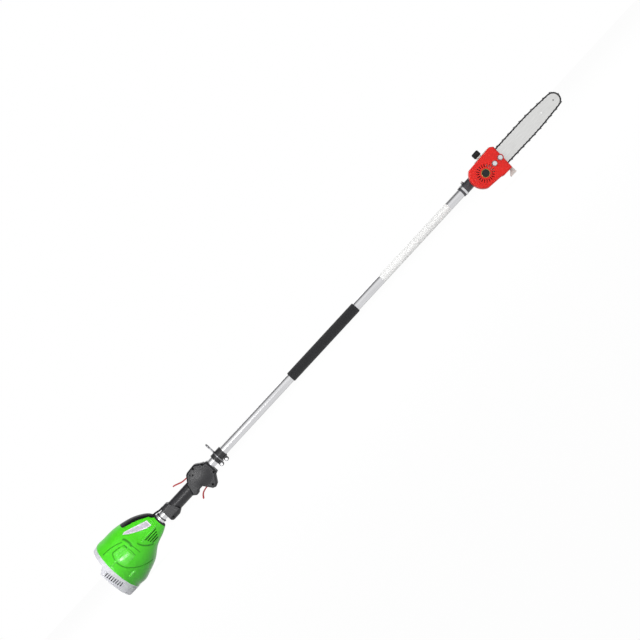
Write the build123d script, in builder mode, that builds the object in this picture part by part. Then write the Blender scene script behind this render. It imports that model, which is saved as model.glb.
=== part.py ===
from build123d import *
import math
import os

# Battery pole saw. X runs forward along the pole to the saw, Z is up in use, Y is to the left.
# The origin is the middle of the powerhead's flat butt face, on the pole's axis. Millimetres.

# Fits
RUN_GAP = 0.05  # radial gap of a shaft in a bearing, bush or bore
SEAT_GAP = 0.03  # radial gap of a fixed piece in its seat
FREE_GAP = 0.4  # gap beside a piece that moves
SCREW_GAP = 0.1  # radial gap of a screw in its hole

# Pole and drive shaft
TUBE_RADIUS = 14.0
TUBE_WALL = 1.5
TUBE_REAR = 165.0
TUBE_LENGTH = 1495.0
SHAFT_RADIUS = 4.0
BUSH_LENGTH = 20.0
BUSH_COUNT = 4

# Powerhead casing: X, reach up, reach down, reach to the side
BASE_LENGTH = 36.0
CASING_FRONT = 225.0
CASING_WALL = 3.0
CASING_SECTIONS = (
    (BASE_LENGTH, 86.0, 93.0, 88.0),
    (62.0, 87.0, 94.5, 89.0),
    (87.0, 86.5, 89.0, 86.0),
    (115.0, 84.0, 80.5, 79.0),
    (136.0, 79.5, 70.5, 71.0),
    (158.0, 73.5, 55.0, 58.0),
    (177.0, 66.5, 45.5, 48.0),
    (201.0, 53.0, 38.0, 39.0),
    (215.0, 42.0, 32.0, 32.0),
    (CASING_FRONT, 28.0, 27.0, 27.0),
)
BASE_REAR_REACH = (82.0, 92.0, 84.0)
BASE_PLATE = 4.0
BASE_NOTCH = ((-30.0, 18.0), (0.0, 18.0), (22.0, 35.0), (22.0, 130.0), (-30.0, 130.0))
VENT_COUNT = 8
VENT_PITCH = 7.7
VENT_TOP_Z = 6.0
VENT_HEIGHT = 3.6
VENT_X = (5.0, 21.0)
VENT_LEAN = 0.8
NECK_VENT_COUNT = 4
NECK_VENT_PITCH = 7.2
NECK_VENT_TOP_Z = -10.5
NECK_VENT_HEIGHT = 3.2
NECK_VENT_X = (163.0, 207.0)
NECK_VENT_TAPER = (2.0, 5.0)
PAD_PROUD = 1.6
PAD_PLACES = (((23.0, 35.0), (58.0, 80.0)), ((0.0, 30.0), (-70.0, -56.0)), ((0.0, 30.0), (-95.0, -78.0)))
PAD_GAP = 15.0
LABEL_GAP = 0.3
LABEL_THICKNESS = 0.6
LABEL_OUTLINE = (
    (128.0, 52.5), (136.0, 54.5), (160.0, 46.0), (185.0, 35.5), (206.0, 27.5),
    (206.0, 6.5), (190.0, 11.0), (165.0, 24.5), (141.0, 41.0),
)
STRIP_OUTLINE = (
    (136.0, 120.0), (136.0, 73.0), (138.5, 67.5), (142.5, 64.5), (148.0, 62.5), (170.0, 55.0),
    (190.5, 46.0), (204.0, 37.5), (215.0, 30.5), (221.0, 18.5), (227.0, 18.5), (227.0, 120.0),
)

CREASE_DEPTH = 1.1
CREASES = (
    (3.2, (71.5, 36.0), (62.2, 3.0), (77.5, -34.0)),
    (2.4, (77.5, -34.0), (100.0, -55.0), (129.0, -68.0)),
    (2.6, (71.5, 36.0), (91.5, 33.8), (108.5, 28.2)),
    (4.4, (112.0, 26.2), (112.7, 21.0), (112.4, 15.5)),
    (6.4, (122.2, 40.0), (127.2, 26.0), (126.2, 10.0)),
    (2.0, (127.0, 10.2), (128.8, -6.0), (128.6, -23.2)),
    (2.4, (47.0, 53.2), (86.0, 48.2), (113.0, 37.5)),
    (2.0, (114.5, 8.7), (115.0, -5.0), (114.0, -18.0)),
    (4.2, (142.5, 0.0), (150.0, -19.0), (166.0, -35.5)),
)

# Battery bay, at the butt end
BATTERY_X = (0.0, 92.0)
BATTERY_WIDTH = 92.0
BATTERY_Z = (-60.0, 4.0)
FINGER_RECESS = (10.0, 24.0, 20.0)
BAY_WALL = 2.5
LATCH_HALF_WIDTH = 11.0
LATCH_HEIGHT = 5.0
LATCH_TRAVEL = 2.0
LATCH_DEPTH = 7.0
LATCH_LIP = (3.0, 1.5)
TERMINAL_LENGTH = 5.0

# Motor, fan and neck socket
FAN_X = (101.0, 108.0)
FAN_RADIUS = 36.0
FAN_BLADES = 9
CAN_X = (111.0, 155.0)
CAN_RADIUS = 41.0
CAN_WALL = 2.0
STATOR_X = (121.0, 149.0)
STATOR_BORE = 22.0
STATOR_TEETH = 12
ROTOR_RADIUS = 21.4
FLANGE_RADIUS = 48.0
FLANGE_LENGTH = 5.0
SOCKET_RADIUS = 17.0
SOCKET_FRONT = 237.0
SEAL_LENGTH = 2.5
GASKET_RADIUS = 25.0
BEARING_RADIUS = 11.0
BEARING_WIDTH = 7.0
COUPLER_X = (167.0, 191.0)
COUPLER_RADIUS = 8.0
SHAFT_SPLIT = 179.0
BOARD_SIZE = (58.0, 70.0, 1.6)
BOARD_X = 36.0

# Casing screws in side view; the first ones also hold the base's lugs
CASING_SCREWS = ((58.0, 72.0), (58.0, -72.0), (120.0, -58.0), (196.0, -27.0))
LUG_COUNT = 2
LUG_REAR = (24.0, 2.0)
LUG_HALF_WIDTH = 5.0
CASING_BOSS_RADIUS = 6.0
SCREW_RADIUS = 2.0
SCREW_HEAD_RADIUS = 3.8
SCREW_HEAD_HEIGHT = 2.6
SCREW_LENGTH = 22.0
SCREW_SEAT_Y = 14.0
BOARD_POST = 3.0
BATTERY_CORNER = 6.0
TERMINAL_PITCH = 16.0
MOTOR_SCREW_RADIUS = 1.5
CABLE_REAR_Z = 23.2
CABLE_FRONT_Z = 18.6

# Rear handle
HANDLE_X = (256.0, 461.0)
FLANGE_OUTLINE = (
    (256.0, -27.0), (256.0, 12.0), (259.0, 18.5), (264.0, 21.0), (279.0, 21.0), (285.0, 15.0),
    (301.0, -24.0), (285.0, -34.0), (264.0, -34.0), (259.0, -32.0),
)
FLANGE_MIDDLE = 267.0
GRIP_Z = (-25.5, 15.6)
GRIP_HALF_WIDTH = 19.0
HEAD_HALF_WIDTH = 22.0
HEAD_WALL = 4.0
HEAD_TOP = (
    (366.0, 12.0), (372.0, 15.0), (387.5, 33.0), (395.0, 36.0),
    (423.0, 38.0), (429.0, 36.0), (451.0, 19.0), (461.0, 14.7),
)
HEAD_BOTTOM = (
    (461.0, -30.0), (450.0, -33.5), (434.0, -55.5), (424.0, -59.5), (415.0, -55.0), (403.0, -36.0),
    (397.0, -27.5), (381.0, -27.5), (373.0, -34.0), (366.0, -34.0), (356.0, -25.5),
)
UPPER_ROOM = ((386.0, 17.0), (386.0, 31.0), (395.0, 32.5), (421.0, 34.0), (439.0, 21.0), (439.0, 17.0))
LOWER_ROOM = (
    (402.0, -17.0), (446.0, -17.0), (446.0, -31.0), (432.0, -49.0),
    (424.0, -52.5), (417.0, -49.0), (402.0, -27.0),
)
LOCKOUT_SLOT = ((366.0, 388.0), (17.2, 32.0))
TRIGGER_SLOT = ((392.0, 416.0), (-50.0, -27.0))
LEVER_HALF_WIDTH = 5.5
LEVER_THICKNESS = 4.0
PIN_RADIUS = 2.0
HUB_RADIUS = 5.0
TRIGGER_PIVOT = (412.0, -33.0)
TRIGGER_LINE = (
    TRIGGER_PIVOT, (403.0, -38.0), (394.0, -40.0), (384.0, -42.5), (375.0, -49.0), (370.0, -55.5)
)
LOCKOUT_PIVOT = (395.0, 24.0)
LOCKOUT_LINE = (LOCKOUT_PIVOT, (381.0, 25.7), (360.0, 28.0), (344.0, 34.5), (333.0, 38.0))
HANDLE_SCREWS = ((268.0, -26.0), (417.0, 30.5), (446.0, 18.8), (453.0, -23.0), (424.0, -47.0))
HANDLE_BOSS_RADIUS = 4.5
FLANGE_HALF_WIDTH = 23.0
FLANGE_CORNER = 14.0
FLANGE_Z = (-34.0, 21.0)
HEAD_EDGE = 5.0
LEVER_ROOM = 0.8
SWITCH_SIZE = (20.0, 12.0, 11.0)
SPRING_WIRE = 0.7
SPRING_TURNS = 3
CABLE_RADIUS = 3.0
PIN_HALF_LENGTH = 20.0
PIN_WELL_RADIUS = 3.5
SWITCH_X = 425.0
CABLE_END = 264.0
CABLE_BEND = 25.0

# Harness hanger
HANGER_REAR_X = (480.0, 493.0)
HANGER_FRONT_X = (498.0, 518.0)
HANGER_RADIUS = 17.8
HANGER_EAR_Z = -25.0
HANGER_EAR_RADIUS = 6.2
HANGER_EAR_HALF_WIDTH = 9.0
HANGER_PLATE = 4.0
HANGER_PLATE_RADIUS = 22.0
HANGER_EYE_Z = 43.0
HANGER_EYE_BORE = 6.0
HANGER_EYE_RADIUS = 10.0
HANGER_BOLT_RADIUS = 2.5
HANGER_BOLT_LENGTH = 22.0
HANGER_BOLT_HEAD = (4.2, 3.0)

# Foam grip
GRIP_X = (828.0, 1125.0)
GRIP_RADIUS = 17.0
GRIP_EDGE = 1.5

# Saw head
GEAR_X = 1693.0
SPROCKET_Z = -13.0
BAR_Y = -40.0
NECK_X = (1606.0, 1670.0)
NECK_RADIUS = 16.25
BAND_X = (1613.0, 1620.0)
BAND_THICKNESS = 1.2
CLAMP_BOLT_X = 1630.0
CASE_Y = (-28.0, 21.0)
CASE_X = (1664.0, 1720.0)
CASE_Z = (-36.0, 20.0)
CASE_CORNER = 10.0
CASE_FLANGE_Y = (-24.0, -20.0)
CAP_THICKNESS = 4.0
BEVEL_MODULE = 1.5
PINION_TEETH = 12
BEVEL_TEETH = 15
BEVEL_FACE = 5.0
SPUR_MODULE = 1.0
SPUR_PINION_TEETH = 11
SPUR_TEETH = 15
SPUR_Y = (-22.0, -14.5)
TRANSFER_RADIUS = 3.5
CAP_BEARING_Y = (15.4, 21.4)
CAP_BEARING_RADIUS = 9.5
END_BEARING_Y = (-27.6, -22.6)
END_BEARING_RADIUS = 5.5
END_SHAFT_RADIUS = 2.5
INNER_BEARING_Y = (-13.0, -8.0)
INNER_BEARING_RADIUS = 8.0
PINION_BEARING_X = (1661.0, 1668.5)
SHAFT_FRONT = 1655.0
TIP_LENGTH = 13.0
TIP_HALF = 2.25
PINION_HUB_RADIUS = 8.0
GEAR_HUB_RADIUS = 7.0
PINION_ROOM_RADIUS = 11.5
BEVEL_ROOM_RADIUS = 15.0
BEVEL_ROOM_Y = 3.0
SPUR_ROOM_Y = (-22.6, -13.0)
SPUR_PINION_ROOM = 8.0
SPUR_GEAR_ROOM = 10.0
SPROCKET_BOSS_RADIUS = 15.0
CLAMP_BOSS_RADIUS = 5.0
CLAMP_BOSS_Z = 19.0
CLAMP_BOLT_TOP = 23.5
CLAMP_HEAD_RADIUS = 4.0
PAD_BAR_X = (1716.0, 1766.0)
PAD_BAR_Z = (-28.0, 2.0)
CAP_FLANGE_RADIUS = 19.0
CAP_SCREW_CIRCLE = 17.0
CAP_SCREW_ANGLES = (90, 210, 330)
SMALL_SCREW_RADIUS = 1.5
SMALL_SCREW = (SMALL_SCREW_RADIUS, 2.8, 2.0)
COVER_REAR_Z = -9.5
COVER_SLOT = (10.0, 2.6)
COVER_BOSS_RADIUS = 11.5
COVER_MOUTH_X = (1755.0, 1790.0)
COVER_MOUTH_Y = (-46.0, -23.0)
COVER_MOUTH_Z = (-49.0, 23.0)
STUD_Y = (-58.5, -28.5)
NUT_POCKET = 3.0
NUT_POCKET_RADIUS = 9.5
TANK_EDGE = 3.0
CAP_EDGE = 2.0
HOOK_SCREW = (1752.0, -54.0)
MAIN_BEARING_Y = (-36.5, -29.5)
COVER_FACE_Y = -53.0
COVER_WALL = 2.2
COVER_ROUND = 5.0
COVER_CORNER = 3.0
COVER_REAR = 1643.0
COVER_TOP = ((1666.0, 30.0), (1759.0, 33.5), (1769.5, 25.0), (1763.5, -60.0))
COVER_BOTTOM = ((1728.0, -59.5), (1721.0, -56.0), (1668.0, -50.5))
COVER_SLOTS = 20
COVER_SLOT_RADIUS = 24.0
BADGE_RADIUS = 14.0
BADGE_THICKNESS = 1.2
STUD_X = (1733.5, 1758.5)
STUD_RADIUS = 4.0
NUT_FLATS = 13.0
NUT_HEIGHT = 7.0
NUT_FLANGE_RADIUS = 8.5
TANK_OUTLINE = (
    (1706.0, 20.0), (1706.0, 33.0), (1760.0, 35.0), (1768.0, 30.0),
    (1768.0, -50.0), (1720.0, -50.0), (1720.0, 20.0),
)
TANK_Y = (-20.0, 34.0)
TANK_WALL = 2.5
FILLER_X = 1725.0
FILLER_Y = 8.0
FILLER_TOP = 44.0
FILLER_RADIUS = 9.0
FILLER_BORE = 6.5
CAP_RADIUS = 12.0
CAP_BOTTOM = 38.0
CAP_TOP = 56.0
HOOK_Y = (-20.0, -14.0)
HOOK_OUTLINE = (
    (1737.0, -50.0), (1768.0, -50.0), (1769.0, -79.5), (1745.0, -79.5),
    (1746.0, -74.0), (1757.0, -63.5), (1757.0, -59.0), (1737.0, -59.0),
)

# Guide bar and chain
PITCH = 6.35
SPROCKET_TEETH = 8
NOSE_TEETH = 11
BAR_HALF_THICKNESS = 1.6
BAR_TAIL_X = 1713.0
BAR_NOSE_X = 2000.0
BAR_NOSE_RADIUS = 20.0
TAIL_ARC = (1747.0, 25.0, 60.0)
BELLY_ARC = (1880.0, 26.0, 1000.0)
RAIL_TO_PITCH = 3.0
GROOVE_DEPTH = 4.5
GROOVE_HALF_WIDTH = 0.8
LINK_ROUND = 2.35
LINK_HALF_THICKNESS = 0.62
STRAP_THICKNESS = 1.1
STRAP_GAP = 0.06
RIVET_RADIUS = 1.1
TANG_DEPTH = 5.0
RIM_RADIUS = 12.7
NOSE_HUB_RADIUS = 6.0
RIM_HALF_WIDTH = 3.4
RIM_GAP = 0.95
STAR_PITCH_RADIUS = 9.3
STAR_MODULE = 1.5
NOSE_PITCH_RADIUS = 15.8
NOSE_MODULE = 1.8
NOSE_HALF_WIDTH = 0.6
NOSE_ROOM_RADIUS = 18.0
BAR_HOLES = ((1947.6, 2.4), (BAR_NOSE_X, 2.0))
BAR_SLOT_X = (1726.0, 1763.0)
TANG_CORNERS = ((-2.6, 0.0), (2.6, 0.0), (1.3, -TANG_DEPTH), (-1.3, -TANG_DEPTH))
CUTTER_CORNERS = (
    (3.2, 0.0), (3.6, 3.0), (2.6, 3.8), (1.6, 3.4), (0.9, 1.6), (0.0, 1.6),
    (-0.4, 4.4), (-4.2, 4.0), (-3.4, 0.0),
)
CUTTER_TOP_X = (-4.2, -0.4)
CUTTER_TOP_Z = (3.4, 4.4)
CUTTER_LAP = 0.4
CUTTER_REACH = 2.4
RIVET_GAP = 0.08
RIVET_HEAD = 0.25


# Shared shapes, each joining the piece that is being made
def middle(span):
    return (span[0] + span[1]) / 2


def length_of(span):
    return span[1] - span[0]


def span_box(x, y, z, mode=Mode.ADD):
    with Locations((middle(x), middle(y), middle(z))):
        Box(length_of(x), length_of(y), length_of(z), mode=mode)


def rod_x(x, radius, y=0.0, z=0.0, mode=Mode.ADD):
    with Locations(Location((middle(x), y, z), (0, 90, 0))):
        Cylinder(radius, length_of(x), mode=mode)


def rod_y(y, radius, x, z, mode=Mode.ADD):
    with Locations(Location((x, middle(y), z), (90, 0, 0))):
        Cylinder(radius, length_of(y), mode=mode)


def rod_z(z, radius, x, y, mode=Mode.ADD):
    with Locations((x, y, middle(z))):
        Cylinder(radius, length_of(z), mode=mode)


def side_plate(points, y, inset=0.0):
    """A closed outline in side view, X and Z, as thick as the span y, drawn in all round by the inset."""
    with BuildPart() as plate:
        with BuildSketch(Plane.XZ.offset(-y[1])):
            with BuildLine():
                Polyline(*points, close=True)
            make_face()
            if inset:
                offset(amount=-inset)
        extrude(amount=length_of(y))
    return plate.part


def bell(sections):
    """A smooth body along X through two half ellipses a section."""
    with BuildPart() as body:
        for x, up, down, side in sections:
            with BuildSketch(Plane.YZ.offset(x)):
                with BuildLine():
                    EllipticalCenterArc((0, 0), side, up, start_angle=0, arc_size=180)
                    EllipticalCenterArc((0, 0), side, down, start_angle=180, arc_size=180)
                make_face()
        loft()
    return body.part


def grown(sections, growth):
    return [(x, up + growth, down + growth, side + growth) for x, up, down, side in sections]


def gear_outline(teeth, pitch_radius, module, turn=0.0):
    """Corners of a toothed disc with slim straight flanks, one tooth centred at the angle turn."""
    step = 2 * math.pi / teeth
    root = pitch_radius - 1.2 * module
    tip = pitch_radius + 0.85 * module
    half_root = 0.30 * step
    half_tip = 0.09 * step
    corners = []
    for tooth in range(teeth):
        middle_angle = turn + tooth * step
        for radius, offset in ((root, -half_root), (tip, -half_tip), (tip, half_tip), (root, half_root)):
            angle = middle_angle + offset
            corners.append((radius * math.cos(angle), radius * math.sin(angle)))
    return corners


def screw_y(x, z, head_y, side, length, radius, head_radius, head_height):
    """A pan-head screw along Y: its head seats at head_y and points to the given side, -1 or 1."""
    head = sorted((head_y, head_y + side * head_height))
    shank = sorted((head_y, head_y - side * length))
    rod_y(head, head_radius, x, z)
    rod_y(shank, radius, x, z)
    recess = sorted((head_y + side * head_height / 3, head_y + side * head_height))
    with Locations(Location((x, middle(recess), z), (90, 0, 0))):
        Box(head_radius, head_radius / 4, length_of(recess), mode=Mode.SUBTRACT)
        Box(head_radius / 4, head_radius, length_of(recess), mode=Mode.SUBTRACT)


SIDE_REACH = 120.0  # further out than any wall


def screw_hole(x, z, side):
    """The hole of a shell screw, with the well that its head goes down on the given side, -1 or 1."""
    hole = sorted((side * SCREW_SEAT_Y, side * (SCREW_SEAT_Y - SCREW_LENGTH - 2)))
    well = sorted((side * SCREW_SEAT_Y, side * SIDE_REACH))
    rod_y(hole, SCREW_RADIUS + SCREW_GAP, x, z, mode=Mode.SUBTRACT)
    rod_y(well, SCREW_HEAD_RADIUS + SCREW_GAP, x, z, mode=Mode.SUBTRACT)


def shell_screw(x, z, side):
    seat = side * SCREW_SEAT_Y
    screw_y(x, z, seat, side, SCREW_LENGTH, SCREW_RADIUS, SCREW_HEAD_RADIUS, SCREW_HEAD_HEIGHT)


# Powerhead: the bell as one solid, then the room inside it
ROOM_FRONT = CASING_FRONT - CASING_WALL
casing_outside = bell(CASING_SECTIONS)
room_sections = grown(CASING_SECTIONS[:-1], -CASING_WALL)
room_sections.append((ROOM_FRONT, *(reach - CASING_WALL for reach in CASING_SECTIONS[-1][1:])))
casing_room = bell(room_sections)
base_sections = [(0.0, *BASE_REAR_REACH), CASING_SECTIONS[0]]
base_outside = bell(base_sections)
plate_share = BASE_PLATE / BASE_LENGTH
plate_reach = [
    rear + (front - rear) * plate_share for rear, front in zip(BASE_REAR_REACH, CASING_SECTIONS[0][1:])
]
base_room = bell(grown([(BASE_PLATE, *plate_reach), CASING_SECTIONS[0]], -CASING_WALL))

FULL_WIDTH = (-SIDE_REACH, SIDE_REACH)
with BuildPart() as casing_bosses:
    for number, (x, z) in enumerate(CASING_SCREWS):
        boss_start = LUG_HALF_WIDTH + FREE_GAP if number < LUG_COUNT else 0.0
        rod_y((boss_start, SIDE_REACH), CASING_BOSS_RADIUS, x, z)
        rod_y((-SIDE_REACH, -boss_start), CASING_BOSS_RADIUS, x, z)
    add(casing_room, mode=Mode.INTERSECT)

with BuildPart() as casing_creases:
    for crease_width, crease_start, crease_bow, crease_end in CREASES:
        with BuildSketch(Plane.XZ.offset(-SIDE_REACH)):
            SlotArc(Edge.make_three_point_arc(crease_start, crease_bow, crease_end), crease_width)
        extrude(amount=2 * SIDE_REACH)
    add(bell(grown(CASING_SECTIONS, -CREASE_DEPTH)), mode=Mode.SUBTRACT)

with BuildPart() as casing_shell:
    add(casing_outside)
    add(casing_room, mode=Mode.SUBTRACT)
    add(casing_bosses.part)
    rod_x((ROOM_FRONT - 1, CASING_FRONT + 1), SOCKET_RADIUS + SEAT_GAP, mode=Mode.SUBTRACT)
    for x, z in CASING_SCREWS:
        screw_hole(x, z, 1)
    for slot in range(NECK_VENT_COUNT):
        slot_z = NECK_VENT_TOP_Z - slot * NECK_VENT_PITCH
        slot_x = (NECK_VENT_X[0] + NECK_VENT_TAPER[0] * slot, NECK_VENT_X[1] - NECK_VENT_TAPER[1] * slot)
        slot_span = (slot_z - NECK_VENT_HEIGHT / 2, slot_z + NECK_VENT_HEIGHT / 2)
        for slot_y in ((SOCKET_RADIUS + 2, SIDE_REACH), (-SIDE_REACH, -SOCKET_RADIUS - 2)):
            span_box(slot_x, slot_y, slot_span, mode=Mode.SUBTRACT)
    add(side_plate(STRIP_OUTLINE, FULL_WIDTH), mode=Mode.SUBTRACT)
    add(casing_creases.part, mode=Mode.SUBTRACT)

with BuildPart() as casing_right:
    add(casing_shell.part)
    split(bisect_by=Plane.XZ, keep=Keep.TOP)

with BuildPart() as casing_left:
    add(casing_shell.part)
    split(bisect_by=Plane.XZ, keep=Keep.BOTTOM)

with BuildPart() as cable_cover:
    add(casing_outside)
    add(casing_room, mode=Mode.SUBTRACT)
    add(side_plate(STRIP_OUTLINE, FULL_WIDTH, FREE_GAP), mode=Mode.INTERSECT)
    rod_x((ROOM_FRONT - 1, CASING_FRONT + 1), SOCKET_RADIUS + SEAT_GAP, mode=Mode.SUBTRACT)
    rod_x((ROOM_FRONT - 1, CASING_FRONT + 1), CABLE_RADIUS + SEAT_GAP, z=CABLE_REAR_Z, mode=Mode.SUBTRACT)

with BuildPart() as label_plates:
    add(bell(grown(CASING_SECTIONS, LABEL_GAP + LABEL_THICKNESS)))
    add(bell(grown(CASING_SECTIONS, LABEL_GAP)), mode=Mode.SUBTRACT)
    add(side_plate(LABEL_OUTLINE, FULL_WIDTH), mode=Mode.INTERSECT)

# Rear base with the battery bay, stepped in at its top, and two lugs for the casing's screws
bay_y = BATTERY_WIDTH / 2 + FREE_GAP
bay_z = (BATTERY_Z[0] - FREE_GAP, BATTERY_Z[1] + FREE_GAP)
bay_end = BATTERY_X[1] + 1.0
bay_outside_y = bay_y + BAY_WALL
latch_z = bay_z[1] + BAY_WALL + FREE_GAP
board_z = bay_z[1] + BAY_WALL + BOARD_POST
with BuildPart() as base_hollow:
    add(base_room)
    add(side_plate(BASE_NOTCH, FULL_WIDTH, -BASE_PLATE), mode=Mode.SUBTRACT)

with BuildPart() as rear_base:
    add(base_outside)
    add(side_plate(BASE_NOTCH, FULL_WIDTH), mode=Mode.SUBTRACT)
    add(base_hollow.part, mode=Mode.SUBTRACT)
    bay_outside_z = (bay_z[0] - BAY_WALL, bay_z[1] + BAY_WALL)
    span_box((0, bay_end + BAY_WALL), (-bay_outside_y, bay_outside_y), bay_outside_z)
    span_box((-1, bay_end), (-bay_y, bay_y), bay_z, mode=Mode.SUBTRACT)
    for slot in range(VENT_COUNT):
        slot_z = VENT_TOP_Z - slot * VENT_PITCH
        slot_span = (slot_z - VENT_HEIGHT / 2, slot_z + VENT_HEIGHT / 2)
        slot_x = [x + VENT_LEAN * slot for x in VENT_X]
        for slot_y in ((bay_outside_y + 5, SIDE_REACH), (-SIDE_REACH, -bay_outside_y - 5)):
            span_box(slot_x, slot_y, slot_span, mode=Mode.SUBTRACT)
    for lug_rear, (x, z) in zip(LUG_REAR, CASING_SCREWS):
        span_box((lug_rear, x + CASING_BOSS_RADIUS), (-LUG_HALF_WIDTH, LUG_HALF_WIDTH), (z - 6, z + 6))
        rod_y(FULL_WIDTH, SCREW_RADIUS + SCREW_GAP, x, z, mode=Mode.SUBTRACT)
    for x in (BOARD_X + 5, BOARD_X + BOARD_SIZE[0] - 5):
        for y in (5 - BOARD_SIZE[1] / 2, BOARD_SIZE[1] / 2 - 5):
            rod_z((bay_z[1] + BAY_WALL / 2, board_z), 2.5, x, y)
    latch_room = LATCH_HALF_WIDTH + FREE_GAP
    span_box(
        (-1, BASE_PLATE + 1),
        (-latch_room, latch_room),
        (latch_z, latch_z + LATCH_HEIGHT + LATCH_TRAVEL + FREE_GAP),
        mode=Mode.SUBTRACT,
    )

with BuildPart() as base_feet:
    add(bell(grown(base_sections, PAD_PROUD)))
    add(base_outside, mode=Mode.SUBTRACT)
    with BuildPart(mode=Mode.PRIVATE) as pad_places:
        for pad_x, pad_z in PAD_PLACES:
            span_box(pad_x, (PAD_GAP, SIDE_REACH), pad_z)
            span_box(pad_x, (-SIDE_REACH, -PAD_GAP), pad_z)
    add(pad_places.part, mode=Mode.INTERSECT)

battery_middle = middle(BATTERY_Z)
with BuildPart() as battery_pack:
    span_box(BATTERY_X, (-BATTERY_WIDTH / 2, BATTERY_WIDTH / 2), BATTERY_Z)
    fillet(battery_pack.edges().filter_by(Axis.X), BATTERY_CORNER)
    with Locations((BATTERY_X[0], 0, battery_middle)):
        with GridLocations(0, BATTERY_WIDTH / 2, 1, 2):
            Box(2 * FINGER_RECESS[0], FINGER_RECESS[1], FINGER_RECESS[2], mode=Mode.SUBTRACT)
    span_box(
        (bay_end - TERMINAL_LENGTH - 2, bay_end),
        (-TERMINAL_PITCH - 4, TERMINAL_PITCH + 4),
        (battery_middle - 14, battery_middle + 14),
        mode=Mode.SUBTRACT,
    )

with BuildPart() as battery_terminals:
    blade_z = (battery_middle - 11, battery_middle + 11)
    for y in (-TERMINAL_PITCH, 0, TERMINAL_PITCH):
        span_box((bay_end - TERMINAL_LENGTH, bay_end), (y - 1, y + 1), blade_z)

latch_bottom = latch_z + FREE_GAP
latch_top = latch_z + LATCH_HEIGHT
lip_x = (BASE_PLATE + FREE_GAP, LATCH_DEPTH)
with BuildPart() as battery_latch:
    span_box((0.5, lip_x[0]), (-LATCH_HALF_WIDTH, LATCH_HALF_WIDTH), (latch_bottom, latch_top))
    lip_y = LATCH_HALF_WIDTH + LATCH_LIP[0]
    span_box(lip_x, (-lip_y, lip_y), (latch_bottom, latch_top + LATCH_LIP[1]))
    with Locations((0.5, 0, middle((latch_bottom, latch_top)))):
        Box(2, 2 * LATCH_HALF_WIDTH - 4, 1.2, mode=Mode.SUBTRACT)

with BuildPart() as controller_board:
    board_top = board_z + BOARD_SIZE[2]
    span_box((BOARD_X, BOARD_X + BOARD_SIZE[0]), (-BOARD_SIZE[1] / 2, BOARD_SIZE[1] / 2), (board_z, board_top))
    for y in (-22, 0, 22):
        rod_z((board_top, board_top + 14), 6, BOARD_X + 12, y)
        span_box((BOARD_X + 28, BOARD_X + 46), (y - 6, y + 6), (board_top, board_top + 6))

# Motor, fan and the socket that holds the pole
rear_bearing_x = (CAN_X[0] + 1.0, CAN_X[0] + 1.0 + BEARING_WIDTH)
flange_x = (CAN_X[1], CAN_X[1] + FLANGE_LENGTH)
front_bearing_x = (CAN_X[1] + 0.5, CAN_X[1] + 0.5 + BEARING_WIDTH)
MOTOR_SCREW_CIRCLE = (CAN_RADIUS + FLANGE_RADIUS) / 2
MOTOR_SCREW_PLACES = [
    (MOTOR_SCREW_CIRCLE * math.cos(math.radians(angle)), MOTOR_SCREW_CIRCLE * math.sin(math.radians(angle)))
    for angle in (45, 135, 225, 315)
]
with BuildPart() as motor_can:
    rod_x(CAN_X, CAN_RADIUS)
    rod_x((CAN_X[1] - FLANGE_LENGTH, CAN_X[1]), FLANGE_RADIUS)
    rod_x((CAN_X[0] + CAN_WALL, CAN_X[1] + 1), CAN_RADIUS - CAN_WALL, mode=Mode.SUBTRACT)
    rod_x((CAN_X[0], rear_bearing_x[1]), BEARING_RADIUS + CAN_WALL)
    rod_x(rear_bearing_x, BEARING_RADIUS + SEAT_GAP, mode=Mode.SUBTRACT)
    rod_x((CAN_X[0] - 1, CAN_X[1]), SHAFT_RADIUS + 1, mode=Mode.SUBTRACT)
    can_end = (CAN_X[0] - 1, CAN_X[0] + CAN_WALL + 1)
    for hole in range(6):
        angle = math.radians(60 * hole)
        rod_x(can_end, 6, 26 * math.cos(angle), 26 * math.sin(angle), Mode.SUBTRACT)
    for y, z in MOTOR_SCREW_PLACES:
        rod_x((CAN_X[0], CAN_X[1] + 1), MOTOR_SCREW_RADIUS + SCREW_GAP, y, z, Mode.SUBTRACT)

with BuildPart() as motor_stator:
    with BuildSketch(Plane.YZ.offset(STATOR_X[0])):
        Circle(CAN_RADIUS - CAN_WALL - SEAT_GAP)
        Circle(STATOR_BORE, mode=Mode.SUBTRACT)
        with PolarLocations((STATOR_BORE + 31) / 2, STATOR_TEETH):
            SlotCenterToCenter(6, 4, mode=Mode.SUBTRACT)
    extrude(amount=length_of(STATOR_X))

with BuildPart() as motor_rotor:
    rod_x((STATOR_X[0] + 1, STATOR_X[1] - 1), ROTOR_RADIUS)
    rod_x(STATOR_X, SHAFT_RADIUS + SEAT_GAP, mode=Mode.SUBTRACT)

with BuildPart() as motor_shaft:
    rod_x((FAN_X[0] - 2, SHAFT_SPLIT - 1), SHAFT_RADIUS)

with BuildPart() as motor_bearings:
    for span in (rear_bearing_x, front_bearing_x):
        rod_x(span, BEARING_RADIUS)
        rod_x(span, SHAFT_RADIUS + RUN_GAP, mode=Mode.SUBTRACT)

with BuildPart() as cooling_fan:
    rod_x((FAN_X[0], FAN_X[0] + 2), FAN_RADIUS)
    rod_x(FAN_X, 10)
    for blade in range(FAN_BLADES):
        with Locations(Rotation(360 * blade / FAN_BLADES, 0, 0)):
            with Locations((middle(FAN_X), 0, (FAN_RADIUS + 8) / 2)):
                Box(length_of(FAN_X), 1.6, FAN_RADIUS - 8)
    rod_x((FAN_X[0] - 1, FAN_X[1] + 1), SHAFT_RADIUS + SEAT_GAP, mode=Mode.SUBTRACT)

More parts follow.
